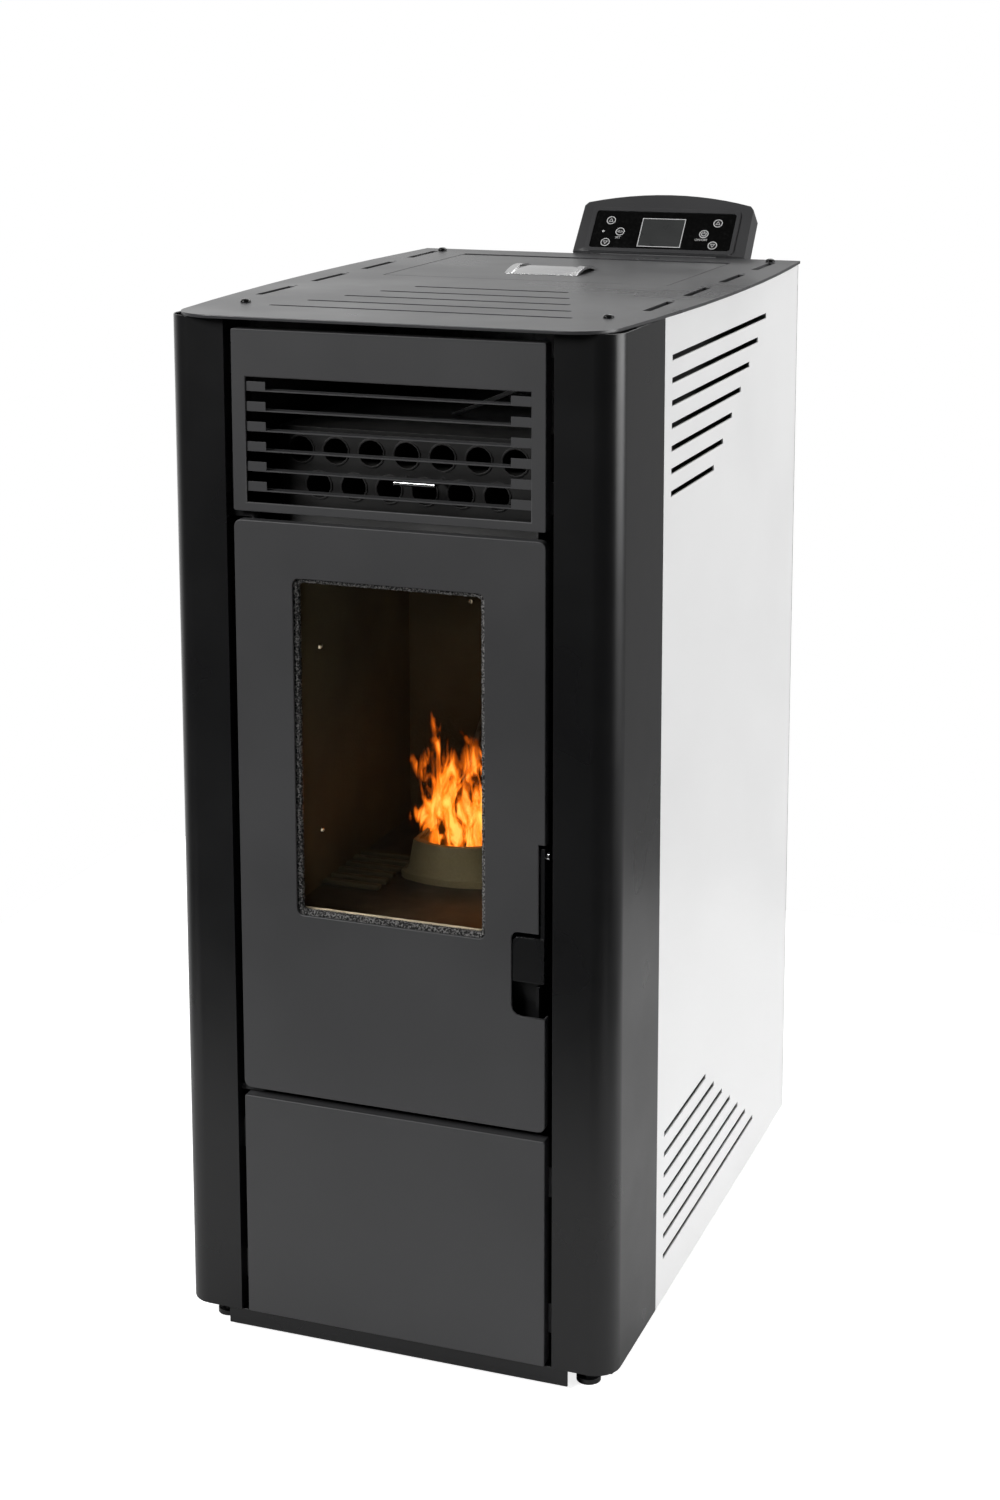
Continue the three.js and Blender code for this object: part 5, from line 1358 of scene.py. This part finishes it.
@dataclass
class FireSide:
    """The fire chamber and what stands in it."""

    plain: tuple[str, ...] = (
        "firebox", "firebox_liner", "pot_holder", "burn_pot", "ash_pan", "tube_scraper", "baffle_plate",
    )
    rib_count: int = 6
    rib_pitch: float = 19 * MM
    rib_height: float = 5 * MM
    rib_depth: float = 9 * MM
    rib_left: float = -0.117
    rib_right: float = -0.056
    rib_first: float = -0.262
    rib_edge: float = 1.2 * MM
    tube_plate_edge: float = 0.5 * MM
    screw: ScrewHead = ScrewHead(3.6 * MM)
    side_wall: float = 10.7 * MM
    back_wall: float = 13.7 * MM
    side_screw_y: float = -0.26
    side_screw_heights: Span = (0.4966, 0.687)
    back_screw_reach: float = 0.0466

    def build(self) -> None:
        """Builds the fire side's pieces."""
        for node in self.plain:
            skin(node)
        skin("heat_exchanger", [EdgeRound((0, -1, 0), self.tube_plate_edge, 2)])
        self.floor_ribs()
        self.liner_screws()

    def floor_ribs(self) -> Piece:
        """Raised ribs on the chamber floor at the left of the pot.

        Returns:
            The piece.
        """
        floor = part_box("pot_holder")[0].z
        bm = bmesh.new()
        for number in range(self.rib_count):
            y = self.rib_first + number * self.rib_pitch
            low = Vector((self.rib_left, y, floor))
            high = Vector((self.rib_right, y + self.rib_depth, floor + self.rib_height))
            add_block(bm, low, high, self.rib_edge)
        return settle(bm, "chamber_floor_ribs", Slot.VERMICULITE, Body.STOVE.value)

    def liner_screws(self) -> Piece:
        """The bright screws that hold the liner: two in each side wall, two high in its back.

        Returns:
            The piece.
        """
        low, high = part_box("firebox_liner")
        wall = low.x + self.side_wall
        bm = bmesh.new()
        for z in self.side_screw_heights:
            for side in (1, -1):
                self.screw.add(bm, Vector((side * wall, self.side_screw_y, z)), Vector((side, 0, 0)))
        for x in (-self.back_screw_reach, self.back_screw_reach):
            seat = Vector((x, high.y - self.back_wall, self.side_screw_heights[1]))
            self.screw.add(bm, seat, Vector((0, -1, 0)))
        return settle(bm, "liner_screws", Slot.CHROME, Body.STOVE.value)


@dataclass
class Fire:
    """The fire in the burn pot: charred pellets and flames."""

    seed: int = 7
    pellet_count: int = 46
    pellet_radius: float = 3 * MM
    pellet_edge: float = 0.6 * MM
    pellet_sides: int = 8
    pellet_halves: Span = (4 * MM, 6 * MM)
    pellet_tilt: float = 0.2
    bed_floor: float = 10 * MM
    bed_depth: float = 7 * MM
    bed_reach: float = 21 * MM
    bed_y: Span = (-0.196, -0.146)
    tongues: int = 14
    tallest: float = 200 * MM
    shortest_share: float = 0.55
    edge_drop: float = 0.55
    foot_reach: float = 42 * MM
    foot_y: Span = (-0.2, -0.15)
    foot_z: float = 0.463
    widths: Span = (24 * MM, 44 * MM)
    sways: Span = (8 * MM, 24 * MM)
    twist: float = 0.7
    foot_width: float = 0.22
    tip_width: float = 0.05
    fullness: float = 0.7
    curl: float = 0.25
    curl_waves: float = 3.0
    sway_waves: float = 5.5
    lean_share: float = 0.3
    lean_waves: float = 4.0
    sheet_columns: int = 8
    sheet_rows: int = 24

    def build(self) -> None:
        """Builds the fire."""
        chance = random.Random(self.seed)
        self.pellets(chance)
        for number in range(self.tongues):
            self.tongue(number, chance)

    def pellets(self, chance: random.Random) -> Piece:
        """A loose layer of pellets on the cup's floor.

        Args:
            chance: the seeded source of the pellets' places.

        Returns:
            The piece.
        """
        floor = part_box("burn_pot")[0].z + self.bed_floor
        bm = bmesh.new()
        for _ in range(self.pellet_count):
            x = chance.uniform(-self.bed_reach, self.bed_reach)
            y = chance.uniform(*self.bed_y)
            centre = Vector((x, y, floor + chance.uniform(0.0, self.bed_depth)))
            turn = chance.uniform(0, math.pi)
            tilt = chance.uniform(-self.pellet_tilt, self.pellet_tilt)
            half = Vector((math.cos(turn), math.sin(turn), tilt)) * chance.uniform(*self.pellet_halves)
            add_rod(
                bm, centre - half, centre + half, self.pellet_radius, self.pellet_edge, self.pellet_sides
            )
        return settle(bm, "burning_pellets", Ember("ember"), Body.BURN_POT.value)

    def tongue(self, number: int, chance: random.Random) -> Piece:
        """One flame: a tall sheet that sways and twists as it rises.

        Args:
            number: which flame.
            chance: the seeded source of its shape.

        Returns:
            The piece.
        """
        spot = 2 * (number + 0.5) / self.tongues - 1
        foot = Vector((self.foot_reach * spot, chance.uniform(*self.foot_y), self.foot_z))
        height = self.tallest * chance.uniform(self.shortest_share, 1.0) * (1 - self.edge_drop * abs(spot))
        width = chance.uniform(*self.widths)
        sway = chance.uniform(*self.sways)
        phase = chance.uniform(0, math.tau)
        twist = chance.uniform(-self.twist, self.twist)
        bm = bmesh.new()
        bm.loops.layers.uv.new("UVMap")
        made = bmesh.ops.create_grid(
            bm, x_segments=self.sheet_columns, y_segments=self.sheet_rows, size=0.5, calc_uvs=True
        )
        for vert in made["verts"]:
            across, rise = vert.co.x, vert.co.y + 0.5
            swell = math.sin(math.pi * min(1.0, self.foot_width + (1 - self.foot_width) * rise))
            side = across * width * (swell**self.fullness + self.tip_width)
            turn = twist * rise + self.curl * math.sin(self.curl_waves * rise + phase)
            drift = sway * rise * math.sin(self.sway_waves * rise + phase)
            lean = self.lean_share * sway * math.cos(self.lean_waves * rise + phase)
            vert.co = foot + Vector((
                side * math.cos(turn) + drift,
                side * math.sin(turn) + lean,
                rise * height,
            ))
        return settle(bm, f"flame_{number + 1}", Flame("flame"), Body.BURN_POT.value)


# ---------------------------------------------------------------- console


@dataclass
class Console:
    """The control console, with its printed signs and its lamp."""

    print_lift: float = 0.03 * MM
    print_depth: float = 0.05 * MM
    ring_radius: float = 5.5 * MM
    ring_width: float = 1.0 * MM
    sign_size: float = 3.3 * MM
    sign_line: float = 0.36
    arrow_shift: float = 0.3 * MM
    pair_reach: float = 1.6 * MM
    pair_share: float = 0.62
    power_share: float = 0.95
    power_line: float = 0.9 * MM
    power_gap: float = 1.1 * MM
    power_bar: Span = (0.5 * MM, 1.7 * MM)
    power_bar_rise: float = 1.9 * MM
    border: float = 1.3 * MM
    housing_edge: float = 0.8 * MM
    lamp_radius: float = 1.5 * MM
    lamp_rise: float = 0.4
    lamp_shift: float = 6 * MM
    text_size: float = 4.2 * MM
    set_shift: Span = (-1.0 * MM, -9.5 * MM)
    on_off_shift: Span = (-2.0 * MM, -9.5 * MM)
    sides: int = 40

    def __post_init__(self) -> None:
        """Reads the console's plane from the frame."""
        joint = next(j for j in frame["joints"] if j["name"] == "key_set_press")
        self.normal = -Vector(joint["axis"]).normalized()
        self.right = Vector((1, 0, 0))
        self.up = self.normal.cross(self.right)

    def build(self) -> None:
        """Builds the console's pieces."""
        skin("console_housing", [EdgeRound(tuple(self.normal), self.housing_edge)])
        skin("console_face")
        skin("console_display")
        signs = {
            "key_left_up": self.arrow_up,
            "key_left_down": self.arrow_down,
            "key_set": self.pair,
            "key_right_up": self.arrow_up,
            "key_right_down": self.arrow_down,
            "key_power": self.power,
        }
        for node, draw in signs.items():
            skin(node)
            self.sign(node, draw)
        self.display_border()
        self.lamp()
        self.words("SET", "key_set", self.set_shift, "set_word")
        self.words("ON/OFF", "key_power", self.on_off_shift, "on_off_word")

    def plane(self, node: str) -> Matrix:
        """The place on top of a node, Z along the console's normal and Y up its slope.

        Args:
            node: the node.

        Returns:
            The place.
        """
        data = frame["nodes"][node].data
        top = max(vert.co.dot(self.normal) for vert in data.vertices)
        centre = middle(node)
        centre += self.normal * (top - centre.dot(self.normal) + self.print_lift)
        turn = Matrix((self.right, self.up, self.normal)).transposed().to_4x4()
        return Matrix.Translation(centre) @ turn

    def raise_print(self, bm: BMesh, place: Matrix) -> None:
        """Gives flat print its thickness and puts it in its place.

        Args:
            bm: the print, flat round the origin.
            place: where it goes.
        """
        made = bmesh.ops.extrude_face_region(bm, geom=bm.faces[:])
        tops = [item for item in made["geom"] if isinstance(item, bmesh.types.BMVert)]
        bmesh.ops.translate(bm, verts=tops, vec=(0, 0, self.print_depth))
        bmesh.ops.recalc_face_normals(bm, faces=bm.faces)
        bmesh.ops.transform(bm, matrix=place, verts=bm.verts)

    def ring(self, bm: BMesh, radius: float, width: float) -> None:
        """Adds a flat ring."""
        made = bmesh.ops.create_circle(bm, cap_ends=True, segments=self.sides, radius=radius)
        hollow(bm, made, width)

    def triangle(self, bm: BMesh, spot: Span, turn: float, size: float) -> None:
        """Adds the outline of a triangle.

        Args:
            bm: the print.
            spot: the triangle's middle.
            turn: its turn from pointing up.
            size: from its middle to a corner.
        """
        place = Matrix.Translation((*spot, 0)) @ Matrix.Rotation(turn, 4, "Z")
        made = bmesh.ops.create_circle(bm, cap_ends=True, segments=3, radius=size, matrix=place)
        hollow(bm, made, size * self.sign_line)

    def arrow_up(self, bm: BMesh) -> None:
        """Draws a triangle that points up."""
        self.triangle(bm, (0, -self.arrow_shift), 0.0, self.sign_size)

    def arrow_down(self, bm: BMesh) -> None:
        """Draws a triangle that points down."""
        self.triangle(bm, (0, self.arrow_shift), math.pi, self.sign_size)

    def pair(self, bm: BMesh) -> None:
        """Draws two triangles that point left and right.

        Args:
            bm: the print.
        """
        for side in (-1, 1):
            spot = (side * self.pair_reach, 0)
            self.triangle(bm, spot, -side * math.pi / 2, self.sign_size * self.pair_share)

    def power(self, bm: BMesh) -> None:
        """Draws the power sign: an open ring and a bar.

        Args:
            bm: the print.
        """
        self.ring(bm, self.sign_size * self.power_share, self.power_line)
        gap = [
            vert
            for vert in bm.verts
            if abs(vert.co.x) < self.power_gap and vert.co.y > 0 and vert.co.length < self.sign_size
        ]
        bmesh.ops.delete(bm, geom=gap, context="VERTS")
        bar = Matrix.Translation((0, self.power_bar_rise, 0)) @ Matrix.Diagonal((*self.power_bar, 1, 1))
        bmesh.ops.create_grid(bm, x_segments=1, y_segments=1, size=1.0, matrix=bar)

    def sign(self, node: str, draw: Callable[[BMesh], None]) -> Piece:
        """Prints a key's ring and sign.

        Args:
            node: the key.
            draw: what draws the sign.

        Returns:
            The piece.
        """
        bm = bmesh.new()
        draw(bm)
        self.ring(bm, self.ring_radius, self.ring_width)
        self.raise_print(bm, self.plane(node))
        return settle(bm, node + "_sign", Print("white_ink"), body_of(node), smooth=False)

    def display_border(self) -> Piece:
        """The white line round the display.

        Returns:
            The piece.
        """
        place = self.plane("console_display")
        turn = place.inverted()
        corners = [turn @ vert.co for vert in frame["nodes"]["console_display"].data.vertices]
        half_x = max(abs(corner.x) for corner in corners)
        half_y = max(abs(corner.y) for corner in corners)
        bm = bmesh.new()
        size = Matrix.Diagonal((half_x, half_y, 1, 1))
        made = bmesh.ops.create_grid(bm, x_segments=1, y_segments=1, size=1.0, matrix=size)
        hollow(bm, made, self.border)
        self.raise_print(bm, place)
        return settle(bm, "display_border", Print("white_ink"), Body.STOVE.value, smooth=False)

    def lamp(self) -> Piece:
        """The small lamp between the left keys.

        Returns:
            The piece.
        """
        face = self.plane("console_face")
        spot = face.inverted() @ ((middle("key_left_up") + middle("key_left_down")) / 2)
        place = face @ Matrix.Translation((spot.x - self.lamp_shift, spot.y, 0))
        bm = bmesh.new()
        bmesh.ops.create_uvsphere(bm, u_segments=20, v_segments=10, radius=self.lamp_radius, matrix=place)
        bmesh.ops.bisect_plane(
            bm, geom=bm.verts[:] + bm.edges[:] + bm.faces[:], plane_co=place.translation,
            plane_no=self.normal, clear_inner=True,
        )
        bmesh.ops.holes_fill(bm, edges=bm.edges[:])
        squash = place @ Matrix.Diagonal((1, 1, self.lamp_rise, 1)) @ place.inverted()
        bmesh.ops.transform(bm, matrix=squash, verts=bm.verts)
        return settle(bm, "console_lamp", Print("lamp_lens", (0.8, 0.8, 0.8)), Body.STOVE.value)

    def words(self, text: str, node: str, shift: Span, name: str) -> Piece:
        """Prints a generic word under a key.

        Args:
            text: the word.
            node: the key.
            shift: its middle from the key's, along the console.
            name: the piece's name.

        Returns:
            The piece.
        """
        curve = bpy.data.curves.new(name, "FONT")
        curve.body = text
        curve.size = self.text_size
        curve.align_x = "CENTER"
        curve.extrude = self.print_depth / 2
        made = mesh_of_curve(curve, name)
        face = self.plane("console_face")
        spot = face.inverted() @ middle(node)
        made.transform(face @ Matrix.Translation((spot.x + shift[0], spot.y + shift[1], 0)))
        return settle(made, name, Print("white_ink"), Body.STOVE.value, smooth=False)


@dataclass
class Works:
    """What stands behind and inside the casing: fans, motor, pipes, board and inlet."""

    skinned: tuple[str, ...] = (
        "smoke_fan_housing", "room_fan_housing", "air_pipe", "power_inlet", "hopper", "auger_motor",
        "igniter", "auger", "smoke_fan_wheel", "room_fan_wheel", "control_board",
    )

    def build(self) -> None:
        """Builds the works."""
        for node in self.skinned:
            skin(node)


# ---------------------------------------------------------------- studio


@dataclass
class Softbox:
    """A plain rectangular studio light."""

    name: str
    place: Triple
    aim: Triple
    size: Span
    level: float

    def build(self) -> None:
        """Builds the light; its level is the share of full white that it gives a facing surface."""
        beam = Vector(self.aim) - Vector(self.place)
        data = bpy.data.lights.new(self.name, "AREA")
        data.shape = "RECTANGLE"
        data.size, data.size_y = self.size
        data.energy = self.level * math.pi**2 * beam.length_squared
        light = bpy.data.objects.new(self.name, data)
        light.location = self.place
        light.rotation_euler = beam.to_track_quat("-Z", "Y").to_euler()
        bpy.context.scene.collection.objects.link(light)


@dataclass
class Studio:
    """Camera, lights, floor and surroundings."""

    sensor: float = 36.0
    lens: float = 61.623
    shift_y: float = -0.2
    stand: Triple = (0.9133, -2.5261, 1.3205)
    look: Triple = (-0.3423, 0.92358, -0.1727)
    right: Triple = (0.93773, 0.34737, -0.00091)
    surround_front: float = 0.05
    surround_back: float = 1.0
    front_side: float = -0.2
    back_side: float = 0.6
    bright_side: float = -0.46
    dim_side: float = -0.25
    dim_share: float = 0.22
    floor_glow: float = 0.82
    floor_half: float = 1.0
    floor_roughness: float = 0.9
    floor_light: Colour = (0.8, 0.8, 0.8)
    floor_dark: Colour = (0.78, 0.78, 0.78)
    floor_mottle: float = 3.0
    lights: tuple[Softbox, ...] = (
        Softbox("front_light", (-2.4, -3.6, 3.2), (0, -0.3, 0.6), (1.8, 1.8), 0.79),
        Softbox("side_light", (3.4, 0.7, 1.3), (0.2, 0, 0.6), (2.6, 2.2), 0.97),
        Softbox("top_light", (0.2, 2.9, 3.4), (0, 0.2, 1.0), (2.6, 2.0), 0.42),
    )

    def build(self) -> None:
        """Builds the studio."""
        self.camera()
        for light in self.lights:
            light.build()
        self.floor()
        self.world()

    def camera(self) -> None:
        """Sets the camera where the photograph was taken from."""
        data = bpy.data.cameras.new("photo_view")
        data.lens = self.lens
        data.sensor_width = self.sensor
        data.sensor_fit = "AUTO"
        data.shift_y = self.shift_y
        camera = bpy.data.objects.new("photo_view", data)
        back = -Vector(self.look).normalized()
        across = Vector(self.right).normalized()
        turn = Matrix((across, back.cross(across), back)).transposed()
        camera.matrix_world = Matrix.Translation(self.stand) @ turn.to_4x4()
        bpy.context.scene.collection.objects.link(camera)
        bpy.context.scene.camera = camera

    @staticmethod
    def seen(tree: Tree) -> Socket:
        """1 where a ray comes from the camera or through glass."""
        path = tree.add("ShaderNodeLightPath")
        return tree.sum("MAXIMUM", path.outputs["Is Camera Ray"], path.outputs["Is Transmission Ray"])

    def floor(self) -> None:
        """A pale floor that the camera sees as white, with the stove's soft shadow on it."""
        bm = bmesh.new()
        bmesh.ops.create_grid(bm, x_segments=4, y_segments=4, size=self.floor_half)
        data = bpy.data.meshes.new("floor")
        bm.to_mesh(data)
        bm.free()
        material = bpy.data.materials.new("pale_floor")
        material.use_nodes = True
        tree = Tree(material.node_tree)
        shader = material.node_tree.nodes["Principled BSDF"]
        mottle = tree.spread(tree.noise(tree.place(), self.floor_mottle), 0.3, 0.7, 0.0, 1.0)
        tree.fill(shader, {
            "Base Color": tree.mix(mottle, self.floor_light, self.floor_dark),
            "Roughness": self.floor_roughness,
            "Emission Color": (1, 1, 1, 1),
            "Emission Strength": tree.sum("MULTIPLY", self.seen(tree), self.floor_glow),
        })
        data.materials.append(material)
        floor = bpy.data.objects.new("floor", data)
        bpy.context.scene.collection.objects.link(floor)

    def world(self) -> None:
        """White surroundings for the camera; the object sees them bright behind it and dark in front."""
        world = bpy.data.worlds.new("studio")
        bpy.context.scene.world = world
        world.use_nodes = True
        tree = Tree(world.node_tree)
        background = world.node_tree.nodes["Background"]
        background.inputs["Color"].default_value = (1, 1, 1, 1)
        side = tree.add("ShaderNodeSeparateXYZ")
        tree.link(tree.add("ShaderNodeTexCoord").outputs["Generated"], side.inputs[0])
        depth = tree.spread(
            side.outputs["Y"], self.front_side, self.back_side, self.surround_front, self.surround_back
        )
        breadth = tree.spread(side.outputs["X"], self.bright_side, self.dim_side, 1.0, self.dim_share)
        level = tree.sum("MULTIPLY", depth, breadth)
        tree.link(tree.sum("MAXIMUM", level, self.seen(tree)), background.inputs["Strength"])


def assemblies() -> Iterable[Any]:
    """Every sub-assembly, in the order in which it is built."""
    return (Studio(), Casing(), Lid(), Front(), Door(), FireSide(), Fire(), Works(), Console())


def main() -> None:
    """Builds the studio and the stove."""
    logging.basicConfig(level=logging.INFO, format="%(name)s %(message)s")
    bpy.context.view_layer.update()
    for assembly in assemblies():
        log.info("building %s", type(assembly).__name__)
        assembly.build()
    bpy.context.scene.view_settings.view_transform = "Standard"


if __name__ == "__main__":
    main()
